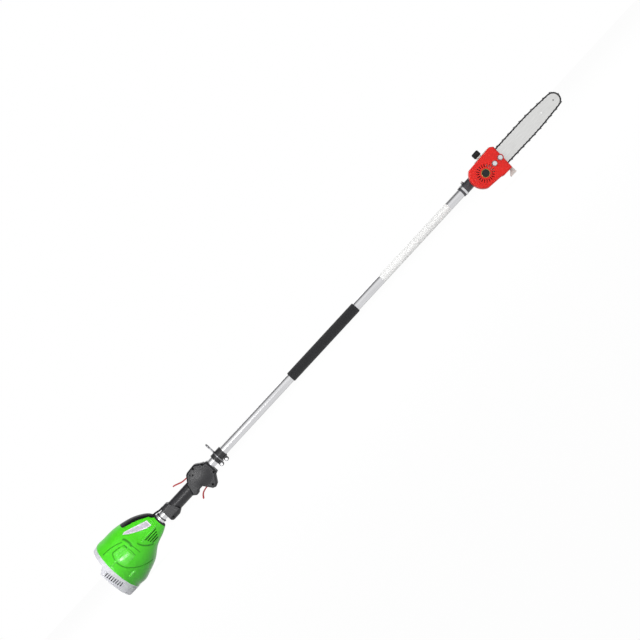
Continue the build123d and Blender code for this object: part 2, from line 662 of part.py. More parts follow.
with BuildPart() as tube_socket:
    rod_x(flange_x, FLANGE_RADIUS)
    rod_x((flange_x[1] - 1, SOCKET_FRONT), SOCKET_RADIUS)
    rod_x((TUBE_REAR, SOCKET_FRONT + 1), TUBE_RADIUS + SEAT_GAP, mode=Mode.SUBTRACT)
    rod_x((flange_x[0] - 1, front_bearing_x[1]), BEARING_RADIUS + SEAT_GAP, mode=Mode.SUBTRACT)
    rod_x((flange_x[0], TUBE_REAR + 1), COUPLER_RADIUS + 1, mode=Mode.SUBTRACT)
    for y, z in MOTOR_SCREW_PLACES:
        rod_x((flange_x[0] - 1, flange_x[1] + 1), MOTOR_SCREW_RADIUS + SCREW_GAP, y, z, Mode.SUBTRACT)

with BuildPart() as neck_seal:
    rod_x((CASING_FRONT, CASING_FRONT + SEAL_LENGTH), GASKET_RADIUS)
    rod_x((CASING_FRONT - 1, SOCKET_FRONT), SOCKET_RADIUS + SEAT_GAP, mode=Mode.SUBTRACT)
    rod_x((CASING_FRONT - 1, SOCKET_FRONT), CABLE_RADIUS + SEAT_GAP, z=CABLE_REAR_Z, mode=Mode.SUBTRACT)
    rod_x((SOCKET_FRONT, SOCKET_FRONT + SEAL_LENGTH), SOCKET_RADIUS + 0.5)
    rod_x((SOCKET_FRONT - 1, SOCKET_FRONT + SEAL_LENGTH + 1), TUBE_RADIUS + SEAT_GAP, mode=Mode.SUBTRACT)

with BuildPart() as shaft_coupler:
    rod_x(COUPLER_X, COUPLER_RADIUS)
    rod_x((COUPLER_X[0] - 1, COUPLER_X[1] + 1), SHAFT_RADIUS + SEAT_GAP, mode=Mode.SUBTRACT)

with BuildPart() as powerhead_screws:
    for x, z in CASING_SCREWS:
        shell_screw(x, z, 1)
    for y, z in MOTOR_SCREW_PLACES:
        rod_x((flange_x[1], flange_x[1] + 2), MOTOR_SCREW_RADIUS + 1.4, y, z)
        rod_x((CAN_X[1] - FLANGE_LENGTH, flange_x[1]), MOTOR_SCREW_RADIUS, y, z)

# Pole and the bushes of its drive shaft
tube_front = TUBE_REAR + TUBE_LENGTH
tube_bore = TUBE_RADIUS - TUBE_WALL
bush_step = TUBE_LENGTH / BUSH_COUNT
BUSH_X = [TUBE_REAR + bush_step * (number + 0.5) for number in range(BUSH_COUNT)]
with BuildPart() as pole_tube:
    rod_x((TUBE_REAR, tube_front), TUBE_RADIUS)
    rod_x((TUBE_REAR - 1, tube_front + 1), tube_bore, mode=Mode.SUBTRACT)

with BuildPart() as shaft_bushes:
    for x in BUSH_X:
        span = (x - BUSH_LENGTH / 2, x + BUSH_LENGTH / 2)
        rod_x(span, tube_bore - SEAT_GAP)
        rod_x(span, SHAFT_RADIUS + RUN_GAP, mode=Mode.SUBTRACT)

with BuildPart() as foam_grip:
    rod_x(GRIP_X, GRIP_RADIUS)
    rod_x((GRIP_X[0] - 1, GRIP_X[1] + 1), TUBE_RADIUS + SEAT_GAP, mode=Mode.SUBTRACT)
    fillet(foam_grip.edges().filter_by(GeomType.CIRCLE).group_by(SortBy.RADIUS)[-1], GRIP_EDGE)

# Rear handle: one shell round the pole, split along the middle
room_half_width = HEAD_HALF_WIDTH - HEAD_WALL
slot_half_width = LEVER_HALF_WIDTH + LEVER_ROOM
with BuildPart() as handle_head:
    add(side_plate(HEAD_TOP + HEAD_BOTTOM, (-HEAD_HALF_WIDTH, HEAD_HALF_WIDTH)))
    chamfer(handle_head.faces().filter_by(Axis.Y).edges(), HEAD_EDGE)

with BuildPart() as handle_flange:
    with BuildSketch(Plane.YZ.offset(HANDLE_X[0])):
        with Locations((0, middle(FLANGE_Z))):
            RectangleRounded(2 * FLANGE_HALF_WIDTH, length_of(FLANGE_Z), FLANGE_CORNER)
    extrude(amount=50)
    add(side_plate(FLANGE_OUTLINE, FULL_WIDTH), mode=Mode.INTERSECT)

with BuildPart() as handle_shell:
    with BuildSketch(Plane.YZ.offset(FLANGE_MIDDLE)):
        with Locations((0, middle(GRIP_Z))):
            Ellipse(GRIP_HALF_WIDTH, length_of(GRIP_Z) / 2)
    extrude(amount=UPPER_ROOM[0][0] - FLANGE_MIDDLE)
    add(handle_flange.part)
    add(handle_head.part)
    add(side_plate(UPPER_ROOM, (-room_half_width, room_half_width)), mode=Mode.SUBTRACT)
    add(side_plate(LOWER_ROOM, (-room_half_width, room_half_width)), mode=Mode.SUBTRACT)
    for x, z in HANDLE_SCREWS[1:]:
        rod_y((-room_half_width - 1, room_half_width + 1), HANDLE_BOSS_RADIUS, x, z)
    for slot_x, slot_z in (LOCKOUT_SLOT, TRIGGER_SLOT):
        span_box(slot_x, (-slot_half_width, slot_half_width), slot_z, mode=Mode.SUBTRACT)
    for x, z in (TRIGGER_PIVOT, LOCKOUT_PIVOT):
        rod_y((-PIN_HALF_LENGTH, PIN_HALF_LENGTH), PIN_RADIUS + SEAT_GAP, x, z, mode=Mode.SUBTRACT)
    pin_well = (-HEAD_HALF_WIDTH - 1, -PIN_HALF_LENGTH)
    rod_y(pin_well, PIN_WELL_RADIUS, *LOCKOUT_PIVOT, mode=Mode.SUBTRACT)
    for x, z in HANDLE_SCREWS:
        screw_hole(x, z, -1)
    rod_x((HANDLE_X[0] - 1, HANDLE_X[1] + 1), TUBE_RADIUS + SEAT_GAP, mode=Mode.SUBTRACT)
    rod_x((HANDLE_X[0] - 1, CABLE_END), CABLE_RADIUS + SEAT_GAP, z=CABLE_FRONT_Z, mode=Mode.SUBTRACT)

with BuildPart() as handle_right:
    add(handle_shell.part)
    split(bisect_by=Plane.XZ, keep=Keep.TOP)

with BuildPart() as handle_left:
    add(handle_shell.part)
    split(bisect_by=Plane.XZ, keep=Keep.BOTTOM)

with BuildPart() as handle_screws:
    for x, z in HANDLE_SCREWS:
        shell_screw(x, z, -1)


def lever(line, pivot):
    """A bent strip lever with a hub on its pin."""
    with BuildPart() as strip:
        with BuildSketch(Plane.XZ):
            with BuildLine() as bend:
                Spline(*line)
            trace(bend.edges(), line_width=LEVER_THICKNESS)
            with Locations(pivot):
                Circle(HUB_RADIUS)
            with Locations(line[-1]):
                Circle(LEVER_THICKNESS / 2)
            with Locations(pivot):
                Circle(PIN_RADIUS + RUN_GAP, mode=Mode.SUBTRACT)
        extrude(amount=LEVER_HALF_WIDTH, both=True)
    return strip


trigger = lever(TRIGGER_LINE, TRIGGER_PIVOT)
lockout_lever = lever(LOCKOUT_LINE, LOCKOUT_PIVOT)

with BuildPart() as lever_pins:
    for x, z in (TRIGGER_PIVOT, LOCKOUT_PIVOT):
        rod_y((-PIN_HALF_LENGTH + 0.2, PIN_HALF_LENGTH - 0.2), PIN_RADIUS, x, z)

SPRING_RADIUS = PIN_RADIUS + SPRING_WIRE / 2 + 0.4
SPRING_PITCH = SPRING_WIRE + 0.6
SPRING_Y = LEVER_HALF_WIDTH + 1.5
with BuildPart() as lever_springs:
    for x, z in (TRIGGER_PIVOT, LOCKOUT_PIVOT):
        with BuildLine() as coil:
            start = (x, SPRING_Y, z)
            Helix(SPRING_PITCH, SPRING_PITCH * SPRING_TURNS, SPRING_RADIUS, center=start, direction=(0, 1, 0))
        with BuildSketch(Plane(origin=coil.line @ 0, z_dir=coil.line % 0)):
            Circle(SPRING_WIRE / 2)
        sweep(path=coil.line)

with BuildPart() as throttle_switch:
    span_box(
        (SWITCH_X, SWITCH_X + SWITCH_SIZE[0]),
        (-SWITCH_SIZE[1] / 2, SWITCH_SIZE[1] / 2),
        (LOWER_ROOM[0][1] - SWITCH_SIZE[2], LOWER_ROOM[0][1]),
    )
    rod_x((SWITCH_X - 3, SWITCH_X), 2, z=LOWER_ROOM[0][1] - SWITCH_SIZE[2] / 2)

with BuildPart() as control_cable:
    with BuildLine(Plane.XZ) as cable_line:
        FilletPolyline(
            (CASING_FRONT - 9, CABLE_REAR_Z),
            (CASING_FRONT + 8, CABLE_REAR_Z),
            (HANDLE_X[0] - 6, CABLE_FRONT_Z),
            (CABLE_END - 1, CABLE_FRONT_Z),
            radius=CABLE_BEND,
        )
    with BuildSketch(Plane.YZ.offset(CASING_FRONT - 9)):
        with Locations((0, CABLE_REAR_Z)):
            Circle(CABLE_RADIUS)
    sweep(path=cable_line.wire())


# Harness hanger: two split clamps and the plate that swivels between them
def hanger_clamp(x):
    with BuildPart() as clamp:
        rod_x(x, HANGER_RADIUS)
        rod_y((-HANGER_EAR_HALF_WIDTH, HANGER_EAR_HALF_WIDTH), HANGER_EAR_RADIUS, middle(x), HANGER_EAR_Z)
        span_box(
            (middle(x) - HANGER_EAR_RADIUS, middle(x) + HANGER_EAR_RADIUS),
            (-HANGER_EAR_HALF_WIDTH, HANGER_EAR_HALF_WIDTH),
            (HANGER_EAR_Z, -TUBE_RADIUS),
        )
        span_box(x, (-1, 1), (HANGER_EAR_Z - 10, 0), mode=Mode.SUBTRACT)
        rod_x((x[0] - 1, x[1] + 1), TUBE_RADIUS + SEAT_GAP, mode=Mode.SUBTRACT)
        rod_y((-20, 20), HANGER_BOLT_RADIUS + SCREW_GAP, middle(x), HANGER_EAR_Z, mode=Mode.SUBTRACT)
    return clamp


hanger_clamp_rear = hanger_clamp(HANGER_REAR_X)
hanger_clamp_front = hanger_clamp(HANGER_FRONT_X)

plate_x = middle((HANGER_REAR_X[1], HANGER_FRONT_X[0]))
with BuildPart() as hanger_plate:
    with BuildSketch(Plane.YZ.offset(plate_x - HANGER_PLATE / 2)):
        Circle(HANGER_PLATE_RADIUS)
        with Locations((0, HANGER_EYE_Z)):
            Circle(HANGER_EYE_RADIUS)
        with Locations((0, HANGER_EYE_Z / 2)):
            Rectangle(1.5 * HANGER_EYE_RADIUS, HANGER_EYE_Z)
        with Locations((0, HANGER_EYE_Z)):
            Circle(HANGER_EYE_BORE, mode=Mode.SUBTRACT)
        Circle(TUBE_RADIUS + FREE_GAP, mode=Mode.SUBTRACT)
    extrude(amount=HANGER_PLATE)

with BuildPart() as hanger_bolts:
    for span in (HANGER_REAR_X, HANGER_FRONT_X):
        bolt_x = middle(span)
        seat = -HANGER_EAR_HALF_WIDTH
        screw_y(bolt_x, HANGER_EAR_Z, seat, -1, HANGER_BOLT_LENGTH, HANGER_BOLT_RADIUS, *HANGER_BOLT_HEAD)

# Drive shaft, with a square tip in the pinion's shank
with BuildPart() as drive_shaft:
    rod_x((SHAFT_SPLIT, SHAFT_FRONT), SHAFT_RADIUS)
    span_box((SHAFT_FRONT, SHAFT_FRONT + TIP_LENGTH), (-TIP_HALF, TIP_HALF), (-TIP_HALF, TIP_HALF))


# Gear train: a bevel pair turns the drive to the side, a spur pair drops it to the bar's line
pinion_pitch = BEVEL_MODULE * PINION_TEETH / 2
bevel_pitch = BEVEL_MODULE * BEVEL_TEETH / 2
toe_ratio = 1 - BEVEL_FACE / math.hypot(pinion_pitch, bevel_pitch)


def bevel_teeth(teeth, pitch_radius, cone_length, turn, heel_plane):
    """A ruled toothed cone from its heel on the given plane to its toe, nearer the apex."""
    heel = gear_outline(teeth, pitch_radius, BEVEL_MODULE, turn)
    with BuildPart() as cone:
        for ratio in (1.0, toe_ratio):
            with BuildSketch(heel_plane.offset(cone_length * (1 - ratio))):
                Polygon(*[(x * ratio, y * ratio) for x, y in heel], align=None)
        loft(ruled=True)
    return cone.part


pinion_heel = GEAR_X - bevel_pitch
with BuildPart() as bevel_pinion:
    add(bevel_teeth(PINION_TEETH, pinion_pitch, bevel_pitch, 0.0, Plane.YZ.offset(pinion_heel)))
    rod_x((PINION_BEARING_X[1] + BEARING_WIDTH + 0.5, pinion_heel), PINION_HUB_RADIUS)
    rod_x((SHAFT_FRONT + 2, pinion_heel), SHAFT_RADIUS)
    hole = TIP_HALF + RUN_GAP
    tip_room = (SHAFT_FRONT + 1, SHAFT_FRONT + TIP_LENGTH + 2)
    span_box(tip_room, (-hole, hole), (-hole, hole), mode=Mode.SUBTRACT)

gear_heel = Plane(origin=(GEAR_X, pinion_pitch, 0), x_dir=(1, 0, 0), z_dir=(0, -1, 0))
with BuildPart() as bevel_gear:
    add(bevel_teeth(BEVEL_TEETH, bevel_pitch, pinion_pitch, math.pi + math.pi / BEVEL_TEETH, gear_heel))
    rod_y((pinion_pitch, CAP_BEARING_Y[0] - 0.4), GEAR_HUB_RADIUS, GEAR_X, 0)
    rod_y((0, CAP_BEARING_Y[0]), TRANSFER_RADIUS + SEAT_GAP, GEAR_X, 0, mode=Mode.SUBTRACT)


def spur_gear(teeth, turn, z):
    with BuildPart() as wheel:
        with BuildSketch(Plane(origin=(GEAR_X, SPUR_Y[1], z), x_dir=(1, 0, 0), z_dir=(0, -1, 0))):
            Polygon(*gear_outline(teeth, SPUR_MODULE * teeth / 2, SPUR_MODULE, turn), align=None)
        extrude(amount=length_of(SPUR_Y))
    return wheel.part


with BuildPart() as transfer_shaft:
    rod_y((END_BEARING_Y[1], CAP_BEARING_Y[1] - 0.4), TRANSFER_RADIUS, GEAR_X, 0)
    rod_y((END_BEARING_Y[0] + 0.2, END_BEARING_Y[1]), END_SHAFT_RADIUS, GEAR_X, 0)
    add(spur_gear(SPUR_PINION_TEETH, -math.pi / 2, 0))

with BuildPart() as sprocket_shaft:
    rod_y((BAR_Y - RIM_HALF_WIDTH - 2, INNER_BEARING_Y[1]), SHAFT_RADIUS, GEAR_X, SPROCKET_Z)
    add(spur_gear(SPUR_TEETH, math.pi / 2 + math.pi / SPUR_TEETH, SPROCKET_Z))

with BuildPart() as gear_bearings:
    for x in PINION_BEARING_X:
        rod_x((x, x + BEARING_WIDTH), BEARING_RADIUS)
    rod_x((PINION_BEARING_X[0] - 1, PINION_BEARING_X[1] + 10), SHAFT_RADIUS + RUN_GAP, mode=Mode.SUBTRACT)
    rod_y(CAP_BEARING_Y, CAP_BEARING_RADIUS, GEAR_X, 0)
    rod_y(CAP_BEARING_Y, TRANSFER_RADIUS + RUN_GAP, GEAR_X, 0, mode=Mode.SUBTRACT)
    rod_y(END_BEARING_Y, END_BEARING_RADIUS, GEAR_X, 0)
    rod_y(END_BEARING_Y, END_SHAFT_RADIUS + RUN_GAP, GEAR_X, 0, mode=Mode.SUBTRACT)
    for span, radius in ((INNER_BEARING_Y, INNER_BEARING_RADIUS), (MAIN_BEARING_Y, BEARING_RADIUS)):
        rod_y(span, radius, GEAR_X, SPROCKET_Z)
        rod_y(span, SHAFT_RADIUS + RUN_GAP, GEAR_X, SPROCKET_Z, mode=Mode.SUBTRACT)


# Gear case: neck for the pole, block, and the flange the cover closes on
def cover_plate(y, inset=0.0):
    """The cover's outline in side view, rounded at the rear, as thick as the span y."""
    with BuildPart() as plate:
        with BuildSketch(Plane.XZ.offset(-y[1])) as outline:
            with BuildLine():
                Polyline(*COVER_TOP, *COVER_BOTTOM)
                ThreePointArc(COVER_BOTTOM[-1], (COVER_REAR, COVER_REAR_Z), COVER_TOP[0])
            make_face()
            fillet(outline.vertices(), COVER_CORNER)
            if inset:
                offset(amount=-inset)
        extrude(amount=length_of(y))
    return plate.part


cap_places = []
for degrees in CAP_SCREW_ANGLES:
    angle = math.radians(degrees)
    cap_places.append((GEAR_X + CAP_SCREW_CIRCLE * math.cos(angle), CAP_SCREW_CIRCLE * math.sin(angle)))

with BuildPart() as gear_case:
    span_box(CASE_X, CASE_Y, CASE_Z)
    fillet(gear_case.edges().filter_by(Axis.Y), CASE_CORNER)
    add(cover_plate(CASE_FLANGE_Y, COVER_WALL / 4))
    rod_x(NECK_X, NECK_RADIUS)
    rod_z((0, CLAMP_BOSS_Z), CLAMP_BOSS_RADIUS, CLAMP_BOLT_X, 0)
    rod_y((MAIN_BEARING_Y[0], CASE_Y[0] + 1), SPROCKET_BOSS_RADIUS, GEAR_X, SPROCKET_Z)
    rod_y((END_BEARING_Y[0] - 2, CASE_Y[0] + 1), END_BEARING_RADIUS + 3, GEAR_X, 0)
    span_box(PAD_BAR_X, (BAR_Y + BAR_HALF_THICKNESS, CASE_FLANGE_Y[1]), PAD_BAR_Z)
    rod_x((NECK_X[0] - 1, tube_front), TUBE_RADIUS + SEAT_GAP, mode=Mode.SUBTRACT)
    bearing_end = PINION_BEARING_X[1] + BEARING_WIDTH + 0.2
    rod_x((tube_front - 1, bearing_end), BEARING_RADIUS + SEAT_GAP, mode=Mode.SUBTRACT)
    rod_x((PINION_BEARING_X[1], GEAR_X - 3), PINION_ROOM_RADIUS, mode=Mode.SUBTRACT)
    rod_y((BEVEL_ROOM_Y, CASE_Y[1] + 1), BEVEL_ROOM_RADIUS, GEAR_X, 0, mode=Mode.SUBTRACT)
    rod_y((SPUR_Y[1], BEVEL_ROOM_Y + 1), TRANSFER_RADIUS + 1, GEAR_X, 0, mode=Mode.SUBTRACT)
    rod_y(SPUR_ROOM_Y, SPUR_PINION_ROOM, GEAR_X, 0, mode=Mode.SUBTRACT)
    rod_y(SPUR_ROOM_Y, SPUR_GEAR_ROOM, GEAR_X, SPROCKET_Z, mode=Mode.SUBTRACT)
    rod_y(END_BEARING_Y, END_BEARING_RADIUS + SEAT_GAP, GEAR_X, 0, mode=Mode.SUBTRACT)
    rod_y(INNER_BEARING_Y, INNER_BEARING_RADIUS + SEAT_GAP, GEAR_X, SPROCKET_Z, mode=Mode.SUBTRACT)
    rod_y(MAIN_BEARING_Y, BEARING_RADIUS + SEAT_GAP, GEAR_X, SPROCKET_Z, mode=Mode.SUBTRACT)
    rod_y((MAIN_BEARING_Y[1], SPUR_Y[0]), SHAFT_RADIUS + 2, GEAR_X, SPROCKET_Z, mode=Mode.SUBTRACT)
    for x in STUD_X:
        rod_y((BAR_Y, STUD_Y[1]), STUD_RADIUS + SEAT_GAP, x, SPROCKET_Z, mode=Mode.SUBTRACT)
    for x, z in cap_places:
        rod_y((CASE_Y[1] - 9, CASE_Y[1]), SMALL_SCREW_RADIUS + SCREW_GAP, x, z, mode=Mode.SUBTRACT)
    hook_hole = (CASE_FLANGE_Y[0] + 0.5, CASE_FLANGE_Y[1])
    rod_y(hook_hole, SMALL_SCREW_RADIUS + SCREW_GAP, *HOOK_SCREW, mode=Mode.SUBTRACT)
    rod_z((0, CLAMP_BOSS_Z), SMALL_SCREW_RADIUS + SCREW_GAP, CLAMP_BOLT_X, 0, mode=Mode.SUBTRACT)

with BuildPart() as gear_case_cap:
    rod_y((CASE_Y[1], CASE_Y[1] + CAP_THICKNESS), CAP_FLANGE_RADIUS, GEAR_X, 0)
    rod_y((CAP_BEARING_Y[0], CASE_Y[1]), BEVEL_ROOM_RADIUS - SEAT_GAP, GEAR_X, 0)
    rod_y(CAP_BEARING_Y, CAP_BEARING_RADIUS + SEAT_GAP, GEAR_X, 0, mode=Mode.SUBTRACT)
    for x, z in cap_places:
        rod_y((CASE_Y[1], CASE_Y[1] + 9), SMALL_SCREW_RADIUS + SCREW_GAP, x, z, mode=Mode.SUBTRACT)

with BuildPart() as clamp_band:
    rod_x(BAND_X, NECK_RADIUS + BAND_THICKNESS)
    rod_x((BAND_X[0] - 1, BAND_X[1] + 1), NECK_RADIUS + SEAT_GAP, mode=Mode.SUBTRACT)

with BuildPart() as head_screws:
    for x, z in cap_places:
        screw_y(x, z, CASE_Y[1] + CAP_THICKNESS, 1, 10, *SMALL_SCREW)
    screw_y(*HOOK_SCREW, HOOK_Y[1], 1, 9, *SMALL_SCREW)
    rod_z((TUBE_RADIUS + SCREW_GAP, CLAMP_BOSS_Z), SMALL_SCREW_RADIUS, CLAMP_BOLT_X, 0)
    rod_z((CLAMP_BOSS_Z, CLAMP_BOLT_TOP), CLAMP_HEAD_RADIUS, CLAMP_BOLT_X, 0)
    with Locations((CLAMP_BOLT_X, 0, CLAMP_BOLT_TOP)):
        Cylinder(CLAMP_HEAD_RADIUS / 2, CLAMP_BOLT_TOP - CLAMP_BOSS_Z, mode=Mode.SUBTRACT)

# Sprocket cover with its ring of slots, plate, studs and nuts
nut_seat = COVER_FACE_Y + NUT_POCKET
with BuildPart() as cover_outside:
    add(cover_plate((COVER_FACE_Y, CASE_FLANGE_Y[0])))
    fillet(cover_outside.faces().sort_by(Axis.Y)[0].edges(), COVER_ROUND)

with BuildPart() as sprocket_cover:
    add(cover_outside.part)
    add(cover_plate((COVER_FACE_Y + COVER_WALL, CASE_FLANGE_Y[0]), COVER_WALL), mode=Mode.SUBTRACT)
    for x in STUD_X:
        rod_y((COVER_FACE_Y + 1, BAR_Y - BAR_HALF_THICKNESS), COVER_BOSS_RADIUS, x, SPROCKET_Z)
        rod_y((COVER_FACE_Y - 1, nut_seat), NUT_POCKET_RADIUS, x, SPROCKET_Z, mode=Mode.SUBTRACT)
        rod_y((COVER_FACE_Y - 1, BAR_Y), STUD_RADIUS + SCREW_GAP, x, SPROCKET_Z, mode=Mode.SUBTRACT)
    span_box(COVER_MOUTH_X, COVER_MOUTH_Y, COVER_MOUTH_Z, mode=Mode.SUBTRACT)
    for number in range(COVER_SLOTS):
        turn = 360 * number / COVER_SLOTS
        with Locations(Location((GEAR_X, COVER_FACE_Y, SPROCKET_Z), (0, turn, 0))):
            with Locations((COVER_SLOT_RADIUS, 0, 0)):
                Box(COVER_SLOT[0], 3 * COVER_WALL, COVER_SLOT[1], mode=Mode.SUBTRACT)

with BuildPart() as cover_badge:
    rod_y((COVER_FACE_Y - BADGE_THICKNESS, COVER_FACE_Y), BADGE_RADIUS, GEAR_X, SPROCKET_Z)

with BuildPart() as bar_studs:
    for x in STUD_X:
        rod_y(STUD_Y, STUD_RADIUS, x, SPROCKET_Z)

with BuildPart() as bar_nuts:
    for x in STUD_X:
        with BuildSketch(Plane(origin=(x, nut_seat, SPROCKET_Z), x_dir=(1, 0, 0), z_dir=(0, -1, 0))):
            RegularPolygon(NUT_FLATS / 2, 6, major_radius=False)
        extrude(amount=NUT_HEIGHT)
        rod_y((nut_seat - 2, nut_seat), NUT_FLANGE_RADIUS, x, SPROCKET_Z)
        rod_y((STUD_Y[0] - 1, nut_seat + 1), STUD_RADIUS + SEAT_GAP, x, SPROCKET_Z, mode=Mode.SUBTRACT)


# Guide bar: the chain's path is a belt round these circles, given above the bar's line
def turn_between(first, second):
    """The angle at which a straight run leaves the first circle for the second, on their upper side."""
    across = second[0] - first[0]
    rise = second[1] - first[1]
    return math.atan2(rise, across) + math.acos((first[2] - second[2]) / math.hypot(across, rise))


def on_circle(circle, angle):
    return (circle[0] + circle[2] * math.cos(angle), circle[1] + circle[2] * math.sin(angle))


def bar_circles(growth):
    tail = (TAIL_ARC[0], TAIL_ARC[1] - TAIL_ARC[2], TAIL_ARC[2] + growth)
    belly = (BELLY_ARC[0], BELLY_ARC[1] - BELLY_ARC[2], BELLY_ARC[2] + growth)
    return tail, belly, (BAR_NOSE_X, 0.0, BAR_NOSE_RADIUS + growth)


def bar_plate(growth, y):
    """The bar's outline moved out by growth, as thick as the span y."""
    tail, belly, nose = bar_circles(growth)
    first = turn_between(tail, belly)
    second = turn_between(belly, nose)
    start = math.acos((BAR_TAIL_X - growth - tail[0]) / tail[2])
    with BuildPart() as plate:
        with BuildSketch(Plane(origin=(0, y[1], SPROCKET_Z), x_dir=(1, 0, 0), z_dir=(0, -1, 0))):
            with BuildLine():
                for side in (1, -1):
                    corners = [on_circle(tail, angle) for angle in (start, (start + first) / 2, first)]
                    corners += [on_circle(belly, angle) for angle in (first, (first + second) / 2, second)]
                    corners.append(on_circle(nose, second))
                    points = [(x, side * z) for x, z in corners]
                    ThreePointArc(*points[0:3])
                    Line(points[2], points[3])
                    ThreePointArc(*points[3:6])
                    Line(points[5], points[6])
                nose_top = on_circle(nose, second)
                ThreePointArc(nose_top, (nose[0] + nose[2], 0), (nose_top[0], -nose_top[1]))
                tail_top = on_circle(tail, start)
                Line(tail_top, (tail_top[0], -tail_top[1]))
            make_face()
        extrude(amount=length_of(y))
    return plate.part


def about_bar(inner, outer):
    """Spans of Y on the two sides of the bar's middle plane."""
    return (BAR_Y + inner, BAR_Y + outer), (BAR_Y - outer, BAR_Y - inner)


with BuildPart() as guide_bar:
    add(bar_plate(-GROOVE_DEPTH, (BAR_Y - GROOVE_HALF_WIDTH, BAR_Y + GROOVE_HALF_WIDTH)))
    rod_y((BAR_Y - 2, BAR_Y + 2), NOSE_ROOM_RADIUS, BAR_NOSE_X, SPROCKET_Z, mode=Mode.SUBTRACT)
    for span in about_bar(GROOVE_HALF_WIDTH, BAR_HALF_THICKNESS):
        add(bar_plate(0.0, span))
    rod_y((BAR_Y - 1, BAR_Y + 1), NOSE_HUB_RADIUS, BAR_NOSE_X, SPROCKET_Z)
    for x, radius in BAR_HOLES:
        rod_y((BAR_Y - 2, BAR_Y + 2), radius, x, SPROCKET_Z, mode=Mode.SUBTRACT)
    for x in BAR_SLOT_X:
        rod_y((BAR_Y - 2, BAR_Y + 2), STUD_RADIUS + SCREW_GAP, x, SPROCKET_Z, mode=Mode.SUBTRACT)
    slot_z = (SPROCKET_Z - STUD_RADIUS - SCREW_GAP, SPROCKET_Z + STUD_RADIUS + SCREW_GAP)
    span_box(BAR_SLOT_X, (BAR_Y - 2, BAR_Y + 2), slot_z, mode=Mode.SUBTRACT)

with BuildPart() as nose_sprocket:
    with BuildSketch(Plane(origin=(BAR_NOSE_X, BAR_Y, SPROCKET_Z), x_dir=(1, 0, 0), z_dir=(0, -1, 0))):
        Polygon(*gear_outline(NOSE_TEETH, NOSE_PITCH_RADIUS, NOSE_MODULE), align=None)
        Circle(NOSE_HUB_RADIUS + RUN_GAP, mode=Mode.SUBTRACT)
    extrude(amount=NOSE_HALF_WIDTH, both=True)

with BuildPart() as drive_sprocket:
    with BuildSketch(Plane(origin=(GEAR_X, BAR_Y, SPROCKET_Z), x_dir=(1, 0, 0), z_dir=(0, -1, 0))):
        Polygon(*gear_outline(SPROCKET_TEETH, STAR_PITCH_RADIUS, STAR_MODULE), align=None)
    extrude(amount=RIM_HALF_WIDTH, both=True)
    for span in about_bar(RIM_GAP, RIM_HALF_WIDTH):
        rod_y(span, RIM_RADIUS, GEAR_X, SPROCKET_Z)
    rod_y((BAR_Y - 9, BAR_Y + 9), SHAFT_RADIUS + SEAT_GAP, GEAR_X, SPROCKET_Z, mode=Mode.SUBTRACT)

# Chain: rivets at equal steps along the path, then links between neighbouring rivets
sprocket_circle = (GEAR_X, 0.0, PITCH / (2 * math.sin(math.pi / (2 * SPROCKET_TEETH))))
path_circles = (sprocket_circle, *bar_circles(RAIL_TO_PITCH))
turns = [math.pi]
turns += [turn_between(first, second) for first, second in zip(path_circles, path_circles[1:])]
turns.append(0.0)


def upper_path(distance):
    """The point this far along the upper half of the path, from the sprocket's rear to the nose."""
    for number, circle in enumerate(path_circles):
        arc = circle[2] * (turns[number] - turns[number + 1])
        if distance <= arc:
            return on_circle(circle, turns[number] - distance / circle[2])
        distance -= arc
        if number + 1 < len(path_circles):
            start = on_circle(circle, turns[number + 1])
            end = on_circle(path_circles[number + 1], turns[number + 1])
            run = math.dist(start, end)
            if distance <= run:
                share = distance / run
                return (start[0] + (end[0] - start[0]) * share, start[1] + (end[1] - start[1]) * share)
            distance -= run
    return on_circle(path_circles[-1], 0.0)


half_length = sum(circle[2] * (turns[n] - turns[n + 1]) for n, circle in enumerate(path_circles))
for n in range(len(path_circles) - 1):
    leave = turns[n + 1]
    half_length += math.dist(on_circle(path_circles[n], leave), on_circle(path_circles[n + 1], leave))
RIVET_COUNT = 4 * round(2 * half_length / PITCH / 4)
link_pitch = 2 * half_length / RIVET_COUNT


def rivet_point(number):
    distance = (number + 0.5) * link_pitch % (2 * half_length)
    if distance > half_length:
        x, z = upper_path(2 * half_length - distance)
        return (x, SPROCKET_Z - z)
    x, z = upper_path(distance)
    return (x, SPROCKET_Z + z)


def link_place(number):
    """Where the link between this rivet and the next one sits: X along it and Z away from the bar."""
    x, z = rivet_point(number)
    next_x, next_z = rivet_point(number + 1)
    slope = math.degrees(math.atan2(next_z - z, next_x - x))
    return Location(((x + next_x) / 2, BAR_Y, (z + next_z) / 2), (0, -slope, 0))


def link_plate(corners, y):
    """One link about its own middle: a slot shape with two rivet holes, and the added corners."""
    with BuildPart() as plate:
        with BuildSketch(Plane.XZ.offset(-y[1])):
            SlotCenterToCenter(link_pitch, 2 * LINK_ROUND)
            if corners:
                with BuildLine():
                    Polyline(*corners, close=True)
                make_face()
            with GridLocations(link_pitch, 0, 2, 1):
                Circle(RIVET_RADIUS + RIVET_GAP, mode=Mode.SUBTRACT)
        extrude(amount=length_of(y))
    return plate.part


strap_inner = LINK_HALF_THICKNESS + STRAP_GAP
strap_outer = strap_inner + STRAP_THICKNESS
side_places = [link_place(number) for number in range(1, RIVET_COUNT, 2)]
with BuildPart() as chain_drive_links:
    with Locations(*[link_place(number) for number in range(0, RIVET_COUNT, 2)]):
        add(link_plate(TANG_CORNERS, (-LINK_HALF_THICKNESS, LINK_HALF_THICKNESS)))

with BuildPart() as chain_straps:
    with Locations(*[place for number, place in enumerate(side_places) if number % 4 != 0]):
        add(link_plate((), (strap_inner, strap_outer)))
    with Locations(*[place for number, place in enumerate(side_places) if number % 4 != 2]):
        add(link_plate((), (-strap_outer, -strap_inner)))

